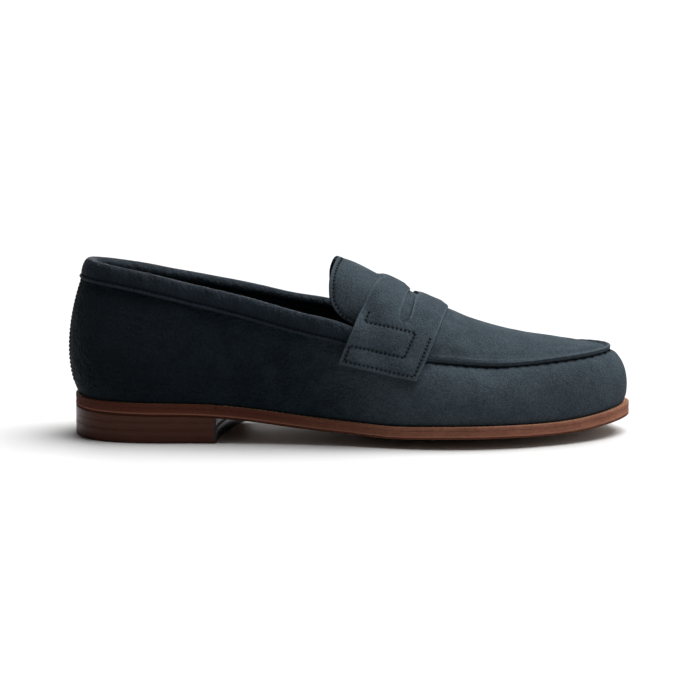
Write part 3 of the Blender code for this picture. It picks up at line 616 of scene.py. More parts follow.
class Paint:
    """A material being built: its node tree and a way to add nodes to it."""

    def __init__(self, name):
        self.material = bpy.data.materials.new(name)
        self.material.use_nodes = True
        self.tree = self.material.node_tree
        self.shader = self.tree.nodes["Principled BSDF"]

    def node(self, kind, settings=None, inputs=None, output=0):
        made = self.tree.nodes.new(kind)
        for key, value in (settings or {}).items():
            setattr(made, key, value)
        for key, value in (inputs or {}).items():
            if isinstance(value, Field):
                self.tree.links.new(value.socket, made.inputs[key])
            else:
                made.inputs[key].default_value = value
        return Field(self, made.outputs[output])

    def place(self, scale=(1.0, 1.0, 1.0)):
        where = self.node("ShaderNodeTexCoord", output="Object")
        return self.node("ShaderNodeMapping", None, {"Vector": where, "Scale": scale})

    def x(self):
        where = self.node("ShaderNodeTexCoord", output="Object")
        return self.node("ShaderNodeSeparateXYZ", None, {"Vector": where}, "X")

    def noise(self, size, detail=3.0, where=None, roughness=0.55):
        """Noise whose blotches are about size millimetres across."""
        return self.node("ShaderNodeTexNoise", None, {
            "Vector": where or self.place(), "Scale": 1 / (size * MM), "Detail": detail,
            "Roughness": roughness})

    def mask(self, name):
        return self.node("ShaderNodeAttribute", {"attribute_name": name}, output="Fac")

    def blend(self, share, first, second):
        """From the first colour to the second as share goes from 0 to 1."""
        made = self.tree.nodes.new("ShaderNodeMix")
        made.data_type, made.clamp_factor = "RGBA", True
        for socket, value in ((made.inputs[0], share), (made.inputs[6], first), (made.inputs[7], second)):
            if isinstance(value, Field):
                self.tree.links.new(value.socket, socket)
            else:
                socket.default_value = value if np.isscalar(value) else (*value, 1.0)
        return Field(self, made.outputs[2])

    def set(self, **values):
        for key, value in values.items():
            socket = self.shader.inputs[key.replace("_", " ")]
            if isinstance(value, Field):
                self.tree.links.new(value.socket, socket)
            else:
                is_colour = hasattr(value, "__len__") and len(value) == 3
                socket.default_value = (*value, 1.0) if is_colour else value

    def relief(self, height, strength=0.5, distance=0.0003):
        normal = self.node("ShaderNodeBump", None, {
            "Height": height, "Strength": strength, "Distance": distance})
        self.tree.links.new(normal.socket, self.shader.inputs["Normal"])


def colour_of(name):
    return tuple(getattr(bpy.context.scene.loafer_finish, name))


def once(make):
    """Keeps a finish after it is first made, so that pieces share it."""
    def get():
        name = "loafer_" + make.__name__
        return bpy.data.materials.get(name) or make(Paint(name)).material
    return get


@once
def nubuck(paint):
    """Buffed upper leather: a fine nap, cloudy where it was stroked, paler on worn edges."""
    dark, light, grained = colour_of("nubuck_dark"), colour_of("nubuck_light"), colour_of("quarter")
    cloud = paint.noise(10, 4).between(0.34, 0.66)
    nap = paint.noise(1.2, 4, roughness=0.7).between(0.34, 0.68)
    speck = paint.noise(0.6, 2).between(0.34, 0.68)
    buffed = paint.blend(cloud * 0.20 + nap * 0.34 + speck * 0.46, dark, light)
    grain = paint.mask("grain")
    quarter = paint.blend(nap * 0.4 + speck * 0.3 + cloud * 0.5, grained, tuple(c * 2.7 for c in grained))
    # Towards the back the grained quarter is blended to its darkest colour: painted shade where the light
    # falls away from the heel.
    quarter = paint.blend(paint.x().between(-0.02, -0.12) * 0.8, quarter, grained)
    # Paler colour on the edges: partly real rubbing of the nap, partly a painted highlight where the edges
    # catch the light.
    worn = tuple(min(c * 1.4 + 0.004, 1) for c in light)
    colour = paint.blend(grain, buffed, quarter)
    colour = paint.blend(paint.mask("worn") * (0.45 + nap * 0.4), colour, worn)
    colour = paint.blend(paint.mask("rim") * 0.45, colour, tuple(c * 0.55 for c in dark))
    colour = paint.blend(paint.mask("shade") * 0.8, colour, tuple(c * 0.25 for c in dark))
    pebble = paint.node("ShaderNodeTexVoronoi", {"feature": "SMOOTH_F1"}, {
        "Vector": paint.place((1.0, 1.0, 0.8)), "Scale": 720.0, "Randomness": 0.9})
    crease = paint.noise(3.2, 5, paint.place((0.7, 0.7, 1.25)), 0.65)
    height = nap * 0.45 + speck * 0.3 + grain * (pebble * 5 + crease * 11)
    paint.set(Base_Color=colour, Roughness=0.93 - grain * 0.22 - cloud * 0.06,
              Sheen_Weight=0.02, Sheen_Roughness=0.4, Sheen_Tint=(0.5, 0.72, 0.9), Specular_IOR_Level=0.04)
    paint.relief(height, 0.8, 0.0004)
    return paint


@once
def collar_leather(paint):
    """Soft grained leather of the folded band, with fine slanting wrinkles."""
    dark = colour_of("collar")
    grain = paint.node("ShaderNodeTexVoronoi", {"feature": "SMOOTH_F1"}, {
        "Vector": paint.place(), "Scale": 900.0})
    wrinkle = paint.noise(4.5, 5, paint.place((1.25, 0.8, 0.65)), 0.65)
    cloud = paint.noise(15, 3).between(0.3, 0.7)
    colour = paint.blend(cloud * 0.5 + wrinkle * 0.4, dark, tuple(c * 1.9 for c in dark))
    # Paler on the band's lip and on the top of its fold: partly real rubbing, partly a painted highlight
    # along these bright ridges.
    colour = paint.blend(paint.mask("worn") * 0.6, colour, tuple(c * 2.8 + 0.008 for c in dark))
    paint.set(Roughness=0.68 - cloud * 0.1, Specular_IOR_Level=0.08)
    colour = paint.blend(paint.mask("shade") * 0.9, colour, tuple(c * 0.15 for c in dark))
    paint.set(Base_Color=colour)
    paint.relief(grain * 1.2 + wrinkle * 8, 0.9, 0.0004)
    return paint


@once
def lining_leather(paint):
    """Smooth dark lining with an open pore."""
    dark = colour_of("lining")
    pore = paint.noise(0.9, 3).between(0.35, 0.7)
    cloud = paint.noise(22, 3).between(0.3, 0.7)
    paint.set(Base_Color=paint.blend(pore * 0.4 + cloud * 0.5, dark, tuple(c * 1.8 for c in dark)),
              Roughness=0.62 + pore * 0.15, Specular_IOR_Level=0.3)
    paint.relief(pore, 0.35, 0.0002)
    return paint


@once
def sole_edge_leather(paint):
    """The sole's dyed edge: rasped and matt at the forepart, darker towards the waist and heel."""
    pale, brown, dark = colour_of("sole_edge"), colour_of("sole_waist"), colour_of("sole_face")
    fibre = paint.noise(1.4, 5, paint.place((0.5, 0.5, 1.5)), 0.7).between(0.36, 0.66)
    fleck = paint.noise(0.6, 3).between(0.36, 0.68)
    stain = paint.noise(14, 4).between(0.3, 0.72)
    # The edge darkens from the forepart towards the waist and heel: partly a darker finish there, partly
    # painted shade where the waist's edge turns under.
    forward = (paint.x() + paint.noise(30, 2) * 0.03 - 0.015).between(-0.055, 0.035)
    edge = paint.blend(forward * (0.42 + fibre * 0.4 + fleck * 0.4), brown, pale)
    edge = paint.blend(stain * 0.28 + fleck * 0.2, edge, brown)
    edge = paint.blend(paint.mask("lip") * 0.6, edge, tuple(c * 0.5 for c in brown))
    edge = paint.blend(paint.mask("bead") * 0.5, edge, tuple(min(c * 1.35, 1) for c in pale))
    face = paint.blend(stain * 0.6 + fleck * 0.25, dark, tuple(c * 0.72 for c in dark))
    paint.set(Base_Color=paint.blend(paint.mask("side"), face, edge),
              Roughness=0.66 + fibre * 0.2, Specular_IOR_Level=0.08)
    paint.relief(fibre * 0.8 + fleck * 0.4, 0.45, 0.0003)
    return paint


@once
def heel_leather(paint):
    """Polished heel stack: dark, waxed, with faint layer lines, black at the breast."""
    brown, breast, dark = colour_of("heel"), colour_of("breast"), colour_of("sole_face")
    fibre = paint.noise(2.2, 5, paint.place((0.25, 0.25, 2.6)), 0.65)
    stain = paint.noise(12, 4).between(0.3, 0.72)
    edge = paint.blend(fibre * 0.75 + stain * 0.2, tuple(c * 0.62 for c in brown),
                       tuple(c * 1.3 for c in brown))
    edge = paint.blend(paint.mask("breast"), edge, paint.blend(fibre, tuple(c * 0.6 for c in breast), breast))
    face = paint.blend(stain * 0.6 + fibre * 0.3, dark, tuple(c * 0.6 for c in dark))
    paint.set(Base_Color=paint.blend(paint.mask("side"), face, edge), Roughness=0.3 + stain * 0.14,
              Specular_IOR_Level=0.12, Coat_Weight=0.03, Coat_Roughness=0.3)
    paint.relief(fibre * 0.6, 0.25, 0.0002)
    return paint


@once
def thread(paint):
    dark = colour_of("thread")
    twist = paint.noise(0.35, 2, paint.place((1.0, 1.0, 0.4)))
    paint.set(Base_Color=paint.blend(twist, dark, tuple(c * 2.2 for c in dark)), Roughness=0.85,
              Specular_IOR_Level=0.1)
    paint.relief(twist, 0.4, 0.0001)
    return paint


@once
def welt_thread(paint):
    pale = colour_of("welt_thread")
    twist = paint.noise(0.35, 2, paint.place((1.0, 1.0, 0.4)))
    paint.set(Base_Color=paint.blend(twist, pale, tuple(c * 0.6 for c in pale)), Roughness=0.7)
    paint.relief(twist, 0.4, 0.0001)
    return paint


@once
def brass(paint):
    scuff = paint.noise(0.8, 4).between(0.3, 0.75)
    paint.set(Base_Color=paint.blend(scuff, (0.62, 0.42, 0.16), (0.44, 0.28, 0.10)), Metallic=1.0,
              Roughness=0.28 + scuff * 0.25)
    return paint


@once
def insole_leather(paint):
    fibre, stain = paint.noise(1.1, 5), paint.noise(18, 3).between(0.3, 0.7)
    paint.set(Base_Color=paint.blend(fibre * 0.6 + stain * 0.3, (0.46, 0.30, 0.17), (0.30, 0.18, 0.10)),
              Roughness=0.68 + fibre * 0.2)
    paint.relief(fibre, 0.4, 0.0003)
    return paint


@once
def stiffener_board(paint):
    fibre, fleck = paint.noise(1.6, 5, paint.place((0.5, 0.5, 1.6))), paint.noise(0.5, 2)
    paint.set(Base_Color=paint.blend(fibre * 0.7 + fleck * 0.2, (0.50, 0.42, 0.30), (0.32, 0.26, 0.18)),
              Roughness=0.8 + fleck * 0.1)
    paint.relief(fibre, 0.5, 0.0003)
    return paint


@once
def cork(paint):
    crumb = paint.node("ShaderNodeTexVoronoi", None, {"Vector": paint.place(), "Scale": 520.0})
    dust = paint.noise(1.2, 4)
    shade = crumb.between(0.1, 0.8) * 0.7 + dust * 0.3
    paint.set(Base_Color=paint.blend(shade, (0.42, 0.27, 0.15), (0.16, 0.09, 0.05)), Roughness=0.92)
    paint.relief(crumb + dust, 0.7, 0.0005)
    return paint


@once
def spring_steel(paint):
    mill = paint.noise(1.8, 4, paint.place((0.08, 1.0, 1.0)))
    paint.set(Base_Color=paint.blend(mill, (0.50, 0.50, 0.52), (0.34, 0.34, 0.36)), Metallic=1.0,
              Roughness=0.28 + mill * 0.18)
    paint.relief(mill, 0.2, 0.0001)
    return paint


# ---- Repeated pieces, with Geometry Nodes ----------------------------------------------------
def repeat_tree(name, shape):
    """A tree that stands a small shape on each point, lying along "along" and facing "facing"."""
    tree = bpy.data.node_groups.new(name, "GeometryNodeTree")
    tree.interface.new_socket("Places", in_out="INPUT", socket_type="NodeSocketGeometry")
    for label in ("Length", "Width", "Height"):
        tree.interface.new_socket(label, in_out="INPUT", socket_type="NodeSocketFloat").default_value = 0.001
    tree.interface.new_socket("Finish", in_out="INPUT", socket_type="NodeSocketMaterial")
    tree.interface.new_socket("Pieces", in_out="OUTPUT", socket_type="NodeSocketGeometry")
    add, join = tree.nodes.new, tree.links.new
    given, result = add("NodeGroupInput"), add("NodeGroupOutput")
    if shape == "pin":
        solid = add("GeometryNodeMeshCylinder")
        solid.inputs["Vertices"].default_value = 24
        solid.inputs["Radius"].default_value = 0.5
        solid.inputs["Depth"].default_value = 1.0
    else:
        solid = add("GeometryNodeMeshUVSphere")
        solid.inputs["Segments"].default_value = 8
        solid.inputs["Rings"].default_value = 6
        solid.inputs["Radius"].default_value = 0.5
    sizes, scaled = add("ShaderNodeCombineXYZ"), add("GeometryNodeTransform")
    for label, axis in (("Length", "X"), ("Width", "Y"), ("Height", "Z")):
        join(given.outputs[label], sizes.inputs[axis])
    join(solid.outputs["Mesh"], scaled.inputs["Geometry"])
    join(sizes.outputs[0], scaled.inputs["Scale"])
    turns = []
    for key, axis in (("facing", "Z"), ("along", "X")):
        direction, turned = add("GeometryNodeInputNamedAttribute"), add("FunctionNodeAlignRotationToVector")
        direction.data_type, turned.axis = "FLOAT_VECTOR", axis
        turned.pivot_axis = "Z" if key == "along" else "AUTO"
        direction.inputs["Name"].default_value = key
        join(direction.outputs[0], turned.inputs["Vector"])
        if turns:
            join(turns[-1].outputs[0], turned.inputs["Rotation"])
        turns.append(turned)
    stood, real = add("GeometryNodeInstanceOnPoints"), add("GeometryNodeRealizeInstances")
    smooth_faces, coat = add("GeometryNodeSetShadeSmooth"), add("GeometryNodeSetMaterial")
    join(given.outputs["Places"], stood.inputs["Points"])
    join(scaled.outputs[0], stood.inputs["Instance"])
    join(turns[-1].outputs[0], stood.inputs["Rotation"])
    join(stood.outputs[0], smooth_faces.inputs["Geometry"])
    join(smooth_faces.outputs[0], real.inputs["Geometry"])
    join(real.outputs[0], coat.inputs["Geometry"])
    join(given.outputs["Finish"], coat.inputs["Material"])
    join(coat.outputs[0], result.inputs[0])
    return tree


def repeated(name, places, alongs, facings, sizes, material, shape="stitch"):
    """One mesh of the shape repeated at the places, given in millimetres."""
    tree = bpy.data.node_groups.get(f"repeat_{shape}") or repeat_tree(f"repeat_{shape}", shape)
    mesh = bpy.data.meshes.new(f"{name}_places")
    mesh.from_pydata((np.asarray(places) * MM).tolist(), [], [])
    for key, values in (("along", alongs), ("facing", facings)):
        mesh.attributes.new(key, "FLOAT_VECTOR", "POINT").data.foreach_set(
            "vector", np.asarray(values, np.float32).ravel())
    obj = bpy.data.objects.new(name, mesh)
    bpy.context.scene.collection.objects.link(obj)
    modifier = obj.modifiers.new("repeat", "NODES")
    modifier.node_group = tree
    values = dict(zip(("Length", "Width", "Height"), (s * MM for s in sizes)), Finish=material)
    for item in tree.interface.items_tree:
        if item.in_out == "INPUT" and item.name in values:
            modifier[item.identifier] = values[item.name]
    graph = bpy.context.evaluated_depsgraph_get()
    made = bpy.data.meshes.new_from_object(obj.evaluated_get(graph))
    obj.modifiers.clear()
    obj.data = made
    made.name = name
    if shape == "pin":
        made.set_sharp_from_angle(angle=0.7)
    return obj


# ---- Upper wall ------------------------------------------------------------------------------
WALL_RUN = 345.0  # length of one side of the shoe's outline
SEAM_SPREAD = 1.75  # from the back seam to each of its rows of stitches


def seam_run(us):
    """How far along the apron seam each u lies, and the hand stitches' even pitch there."""
    dense = np.linspace(APRON_START, 2 - APRON_START, 1201)
    run = run_of(wall(dense, np.full(dense.shape, SEAM_V)))
    pitch = run[-1] / round(run[-1] / bpy.context.scene.loafer_sizes.hand_pitch)
    return np.interp(us, dense, run), pitch


def make_upper_wall():
    us = np.concatenate([np.linspace(0.0, 0.014, 15), np.linspace(0.014, 1.986, 440)[1:],
                         np.linspace(1.986, 2.0, 15)[1:-1]])
    vs = np.concatenate([np.linspace(0, 0.10, 9)[:-1], np.linspace(0.10, 0.70, 28)[:-1],
                         np.linspace(0.70, 0.93, 30)[:-1], np.linspace(0.93, 1.0, 5)])
    u, v = us[:, None], vs[None, :]
    skin = wall(u, v)
    normals = grid_normals(skin, closed=True)
    length = np.linalg.norm(np.diff(skin, axis=1), axis=2).sum(axis=1)[:, None]
    below = (SEAM_V - v) * length
    front = np.minimum(u, 2 - u)
    vamp = smooth(front, 0.575, 0.60)
    run, pitch = seam_run(us)
    beat = 0.5 + 0.5 * np.cos(2 * math.pi * run / pitch)[:, None]
    sizes = bpy.context.scene.loafer_sizes
    lift = -sizes.pucker * vamp * bump(below, 0.6, 1.5) * (0.35 + 0.65 * beat)
    lift = lift + 0.42 * sizes.pucker * vamp * bump(below, 3.4, 2.3) * (1 - beat)
    lift = lift - 0.3 * vamp * bump(below, 3.2, 1.6) * beat * 0.5
    settled = smooth(v, 0.02, 0.15)
    lift = lift + settled * (0.22 * waves(skin, 34, 3) + 0.07 * waves(skin, 9, 5))
    behind = np.where(us < 1, us, us - 2)[:, None] * WALL_RUN
    lift = lift - 0.5 * bump(behind, 0, 0.55) + 0.3 * bump(np.abs(behind), 1.7, 1.1)
    creased = smooth(0.40 - front, 0, 0.2) * settled
    fold = waves(skin, 7.5, 11, 36, (1.2, 0.5, 0.7))
    lift = lift + creased * 0.10 * np.minimum(fold, 0.6)
    skin = skin + normals * lift[..., None]
    margin = inset(us, REVEAL(us) + LASTING_MARGIN)
    edge = inset(us, REVEAL(us) + 1.2)
    turned = np.stack([np.column_stack([p, seat(p[:, 0], p[:, 1])]) for p in (margin, edge)], axis=1)
    skin = np.concatenate([turned, skin], axis=1)
    grain = np.repeat(1 - smooth(front, 0.40, 0.60), skin.shape[1], axis=1)
    shade = np.zeros(skin.shape[:2])
    shade[:, 2:] = vamp * bump(below, -0.2, 0.8) + bump(v * length, 0.0, 0.7)
    faces = grid_faces(*skin.shape[:2], closed=True)
    masks = {"grain": grain, "shade": np.clip(shade, 0, 1)}
    obj = slab("upper_wall", skin, faces, UPPER, nubuck(), masks=masks)
    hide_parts("vamp_wrap")
    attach(obj, "shoe")
    rows = []
    for side in (-1, 1):
        heights = np.linspace(0.10, 0.875, 60)
        us = np.full(60, side * SEAM_SPREAD / WALL_RUN) % 2
        line, out = wall(us, heights), wall_normal(us, heights)
        rows.append(spaced(line + out * 0.28, out, sizes.seam_pitch))
    places, alongs, facings = (np.concatenate([r[k] for r in rows]) for k in range(3))
    seam = repeated("back_seam_stitches", places, alongs, facings, (1.75, 0.75, 0.75), thread())
    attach(seam, "shoe")


# ---- Apron -----------------------------------------------------------------------------------
def apron_surface():
    """Rim and spine of the apron: rows run from the rim, round the toe, to the spine behind it."""
    free_x = np.linspace(8.5, RIM_LEFT.t[3] - 0.4, 22)
    us = np.linspace(APRON_START, 1.0, 165)
    left = np.concatenate([np.column_stack([free_x, RIM_LEFT(free_x)]), apron_rim(us)])
    right = np.concatenate([np.column_stack([free_x, RIM_RIGHT(free_x)]), apron_rim(2 - us)])
    reach = (left[:, 0] + right[:, 0]) / 2
    start, end = 21.0, reach[-1] - 34.0
    spine_x = start + (reach - reach[0]) * (end - start) / (reach[-1] - reach[0])
    return left, right, spine_x


def instep_height(x, y, left, right):
    """Height of the apron's surface at a place in plan."""
    def side(rim):
        order = np.argsort(rim[:, 0])
        return (np.interp(x, rim[order, 0], rim[order, k]) for k in (1, 2))
    (left_y, left_z), (right_y, right_z) = side(left), side(right)
    half = np.maximum((right_y - left_y) / 2, 0.5)
    share = np.clip((y - (left_y + right_y) / 2) / half, -1, 1)
    return arch_height(share, x, left_z, right_z), (left_y + right_y) / 2


def make_apron():
    left, right, spine_x = apron_surface()
    rim = np.concatenate([left, right[-2::-1]])
    spine = np.concatenate([spine_x, spine_x[-2::-1]])
    middle = instep_height(spine, spine * 0, left, right)[1]
    t = np.linspace(0, 1, 58) ** 1.65
    x = rim[:, :1] + (spine[:, None] - rim[:, :1]) * t
    y = rim[:, 1:2] + (middle[:, None] - rim[:, 1:2]) * t
    z = instep_height(x, y, left, right)[0]
    z = z + (rim[:, 2:] - z[:, :1]) * (1 - smooth(t, 0, 0.05))
    skin = np.dstack([x, y, z])
    normals = grid_normals(skin)
    normals[:, -1] = normals[:, -2]
    inwards = np.concatenate([np.zeros((len(rim), 1)), np.cumsum(np.linalg.norm(
        np.diff(skin, axis=1), axis=2), axis=1)], axis=1)
    run = run_of(rim)[:, None]
    _, pitch = seam_run(np.array([1.0]))
    beat = 0.5 + 0.5 * np.cos(2 * math.pi * (run - run[22]) / pitch)
    toe = smooth(rim[:, :1], 95.0, 128.0)
    sizes = bpy.context.scene.loafer_sizes
    lift = (sizes.apron_ridge + 0.25 * toe) * bump(inwards, 1.1, 1.0)
    lift = lift - (0.28 + 0.5 * toe) * bump(inwards, 4.2, 2.3)
    lift = lift - 0.14 * beat * bump(inwards, 1.6, 1.4)
    lift = lift + smooth(inwards, 2, 12) * (0.14 * waves(skin, 30, 21) + 0.05 * waves(skin, 10, 23))
    skin = skin + normals * lift[..., None]
    skin[:, -1] = (skin[:, -1] + skin[::-1, -1]) / 2
    # Paler along the apron's raised edge, less at each stitch: partly real wear, partly a painted highlight
    # where the edge catches the light.
    masks = {"worn": bump(inwards, 0.25, 0.75) * (0.75 + 0.25 * (1 - beat)),
             "shade": bump(inwards, 2.6, 0.8) * 0.25}
    obj = slab("apron_top", skin, grid_faces(*skin.shape[:2]), APRON, nubuck(), 0.3, masks=masks,
               upright=0.8 * bump(inwards, 0, 3.5))
    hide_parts("apron")
    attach(obj, "shoe")
    us = np.linspace(APRON_START + 0.012, 2 - APRON_START - 0.012, 700)
    level = np.full(us.shape, SEAM_V + 0.004)
    out = wall_normal(us, level)
    line = wall(us, level) + out * 0.25 + UP * 0.25
    place, way, normal = spaced(line, out, pitch)
    way = unit(way + 0.55 * np.cross(normal, way) * np.where(place[:, 1:2] < TOE_SHIFT, 1, -1))
    stitches = repeated("apron_stitches", place, way, normal, (3.4, 0.85, 0.8), thread())
    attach(stitches, "shoe")


# ---- Strap -----------------------------------------------------------------------------------
def strap_rear(share):
    return STRAP_CREST - 25.2 * share**1.15


def strap_front(share):
    return STRAP_CREST + STRAP_WIDTH - 2.2 - 17.0 * share**1.6


def turn(a, b, c):
    return (b[0] - a[0]) * (c[1] - b[1]) - (b[1] - a[1]) * (c[0] - b[0])


def around(points):
    """The outer boundary of points in a plane, from the lowest on the left over the top to the right."""
    ordered, chains = sorted(map(tuple, points)), []
    for run in (ordered, ordered[::-1]):
        chain = []
        for p in run:
            while len(chain) > 1 and turn(chain[-2], chain[-1], p) >= 0:
                chain.pop()
            chain.append(p)
        chains.append(chain[:-1])
    loop = chains[0] + chains[1]
    start = loop.index(min((p for p in loop if p[0] < 0), key=lambda p: p[1]))
    loop = loop[start:] + loop[:start]
    end = loop.index(min((p for p in loop if p[0] > 0), key=lambda p: p[1]))
    return np.array(loop[: end + 1])


def strap_surface():
    """Reads the strap's outer surface at (share from the crest, share from rear to front edge)."""
    xs = np.linspace(along(0.40), along(0.70), 31)
    vs = np.array([0.30, 0.42, 0.54, 0.66, 0.78, 0.88, 1.0])
    us = np.linspace(0.36, 0.74, 27)
    walls = [wall((us if side < 0 else 2 - us)[:, None], vs[None, :]) for side in (-1, 1)]
    end = wall(COLLAR_END, 1.0)[0]
    paths = []
    for x in xs:
        points = [tuple(p) for p in tongue_point(x, np.sin(np.linspace(-0.49, 0.49, 31) * math.pi))[:, 1:]]
        band = (COLLAR_SKIN + LOOSE) * (1 - smooth(x, end + 3, end + 12))
        for side, lines in zip((-1, 1), walls):
            for k, v in enumerate(vs):
                order = np.argsort(lines[:, k, 0])
                y, z = (np.interp(x, lines[order, k, 0], lines[order, k, axis]) for axis in (1, 2))
                points.append((y + side * band * (v > 0.4), z + band * (v == 1.0)))
        line = around(points)
        run = run_of(line)
        dense = np.stack([np.interp(np.linspace(0, run[-1], 141), run, line[:, k]) for k in (0, 1)], axis=1)
        for _ in range(20):
            dense[1:-1] = (dense[:-2] + 2 * dense[1:-1] + dense[2:]) / 4
        crest = int(np.argmax(dense[:, 1]))
        tangent = unit(np.gradient(dense, axis=0))
        dense = dense + np.stack([-tangent[:, 1], tangent[:, 0]], axis=1) * (STRAP + STRAP_CLEARANCE)
        at = np.concatenate([np.linspace(0, crest, 31), np.linspace(crest, 140, 31)[1:]])
        paths.append(np.stack([np.interp(at, range(141), dense[:, k]) for k in (0, 1)], axis=1))
    paths = np.array(paths)
    for _ in range(3):
        paths[1:-1] = (paths[:-2] + 2 * paths[1:-1] + paths[2:]) / 4
        paths[:, 1:-1] = (paths[:, :-2] + 2 * paths[:, 1:-1] + paths[:, 2:]) / 4
    fine_x, fine_step = np.linspace(xs[0], xs[-1], 181), np.linspace(-1, 1, 301)
    paths = Spline(xs, paths.reshape(31, -1))(fine_x).reshape(181, 61, 2)
    paths = Spline(np.linspace(-1, 1, 61), paths.transpose(1, 0, 2).reshape(61, -1))(fine_step)
    paths = paths.reshape(301, 181, 2)

    def read(share, width):
        rear, front = strap_rear(np.abs(share)), strap_front(np.abs(share))
        x = rear + (front - rear) * width
        i = np.clip((share * STRAP_REACH + 1) * 150, 0, 299.999)
        j = np.clip((x - xs[0]) / (xs[-1] - xs[0]) * 180, 0, 179.999)
        i0, j0 = i.astype(int), j.astype(int)
        fi, fj = (i - i0)[..., None], (j - j0)[..., None]
        yz = ((1 - fi) * (1 - fj) * paths[i0, j0] + fi * (1 - fj) * paths[i0 + 1, j0]
              + (1 - fi) * fj * paths[i0, j0 + 1] + fi * fj * paths[i0 + 1, j0 + 1])
        return np.concatenate([x[..., None], yz], axis=-1)

    return read


STRAP_ACROSS = 34.0  # the strap's width along the instep
SLOT_END = 0.545  # share from the crest where the coin slot closes
SLOT_SHARES = (0.0, 0.15, 0.35, 0.50, 0.60)
SLOT_REAR = (0.400, 0.415, 0.450, 0.458, 0.458)  # share from the rear edge to the front one
SLOT_FRONT = (0.552, 0.545, 0.592, 0.630, 0.640)
# The sewn line holding each end of the strap, as shares from the crest and from the rear edge.
STRAP_SEWING = [
    (0.54, 0.10), (0.64, 0.10), (0.61, 0.744), (0.85, 0.733), (0.845, 0.044), (0.96, 0.05), (1.0, 0.95),
    (0.615, 0.944),
]


def make_strap():
    read = strap_surface()
    shares = np.linspace(-1, 1, 321)
    half = np.interp(np.abs(shares), SLOT_SHARES, np.array(SLOT_FRONT) - SLOT_REAR) / 2
    middle = np.interp(np.abs(shares), SLOT_SHARES, np.array(SLOT_FRONT) + SLOT_REAR) / 2
    closing = np.sqrt(np.clip(1 - (np.abs(shares) / SLOT_END) ** 9, 0, 1))
    rear_lip, front_lip = middle - half * closing, middle + half * closing
    sizes = bpy.context.scene.loafer_sizes
    blocks, all_faces, masks, first = [], [], {"worn": [], "shade": []}, 0
    sewing, holes, alongs, facings = [], [], [], []
    for side in (-1, 1):
        for (s0, w0), (s1, w1) in zip(STRAP_SEWING[:-1], STRAP_SEWING[1:]):
            t = np.linspace(0, 1, 40)
            s, w = side * (s0 + (s1 - s0) * t), w0 + (w1 - w0) * t
            line = read(s, w)
            normal = unit(np.cross(read(s, w + 0.02) - line, read(s + 0.01, w) - line))
            normal = normal * np.sign(normal[:, 2:].mean())
            place, way, facing = spaced(line, normal, sizes.stitch_pitch)
            sewing.append(line[::3])
            holes.append(place)
            alongs.append(way)
            facings.append(facing)
    sewing, holes = np.concatenate(sewing), np.concatenate(holes)
    for low, high, columns in ((0 * rear_lip, rear_lip, 34), (front_lip, 0 * rear_lip + 1, 38)):
        t = (1 - np.cos(np.linspace(0, 1, columns) * math.pi)) / 2 * 0.35 + np.linspace(0, 1, columns) * 0.65
        w = low[:, None] + (high - low)[:, None] * t
        a = shares[:, None] * (0.985 + 0.05 * w)
        skin = read(a, w)
        normals = grid_normals(skin)
        normals = normals * np.sign(normals[..., 2:].mean())
        far = np.abs(a)
        pillow = hump(far, 0.635, 0.847) ** 0.75 * (1 - smooth(w, 0.52, 0.735))
        foot = hump(far, 0.85, 0.98) ** 0.8 * smooth(w, 0.04, 0.2)
        crown = 0.35 * (1 - smooth(far, 0.45, 0.62)) * hump(w, 0.0, 0.44)
        lift = sizes.puff * (pillow + 0.35 * foot * (1 - smooth(w, 0.80, 0.95))) + crown
        lift = lift + 0.10 * waves(skin, 18, 31) + 0.04 * waves(skin, 6, 33)
        free = 1 - smooth(far, 0.5, 0.64)
        lift = lift - free * (1.5 * bump(w, 0, 0.055) + 0.85 * bump(w, 1, 0.06))
        from_slot = np.minimum(np.abs(w - rear_lip[:, None]), np.abs(w - front_lip[:, None]))
        open_slot = (closing > 0)[:, None]
        lift = lift - 0.7 * bump(from_slot, 0, 0.05) * open_slot
        skin = sewn_down(skin + normals * lift[..., None], normals, sewing, holes, 0.14, 0.45)
        edge, lip = np.minimum(w, 1 - w) * STRAP_ACROSS, from_slot * STRAP_ACROSS
        # Paler along the strap's edges and the slot's lips on its free part: partly real wear, partly a
        # painted highlight where the edges catch the light.
        worn = np.maximum(bump(edge, 0, 0.6), bump(lip, 0, 0.7) * open_slot)
        worn = worn * (0.25 + 0.5 * (far < 0.5))
        masks["worn"].append(worn.ravel())
        masks["shade"].append((0.75 * bump(nearest(skin, holes), 0, 0.75)).ravel())
        blocks.append(skin)
        all_faces += list(grid_faces(*skin.shape[:2], first=first)[:, ::-1])
        first += skin.shape[0] * skin.shape[1]
    shut, (rear, front) = closing == 0, blocks
    rear[shut, -1] = front[shut, 0] = (rear[shut, -1] + front[shut, 0]) / 2
    points = np.concatenate([block.reshape(-1, 3) for block in blocks])
    obj = slab("saddle_strap_leather", points, all_faces, STRAP, nubuck(), 0.4,
               masks={key: np.concatenate(parts) for key, parts in masks.items()})
    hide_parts("saddle_strap")
    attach(obj, "shoe")
    facings = np.concatenate(facings)
    stitches = repeated("strap_stitches", holes - facings * 0.05, np.concatenate(alongs), facings,
                        (1.3, 1.15, 0.8), thread())
    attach(stitches, "shoe")


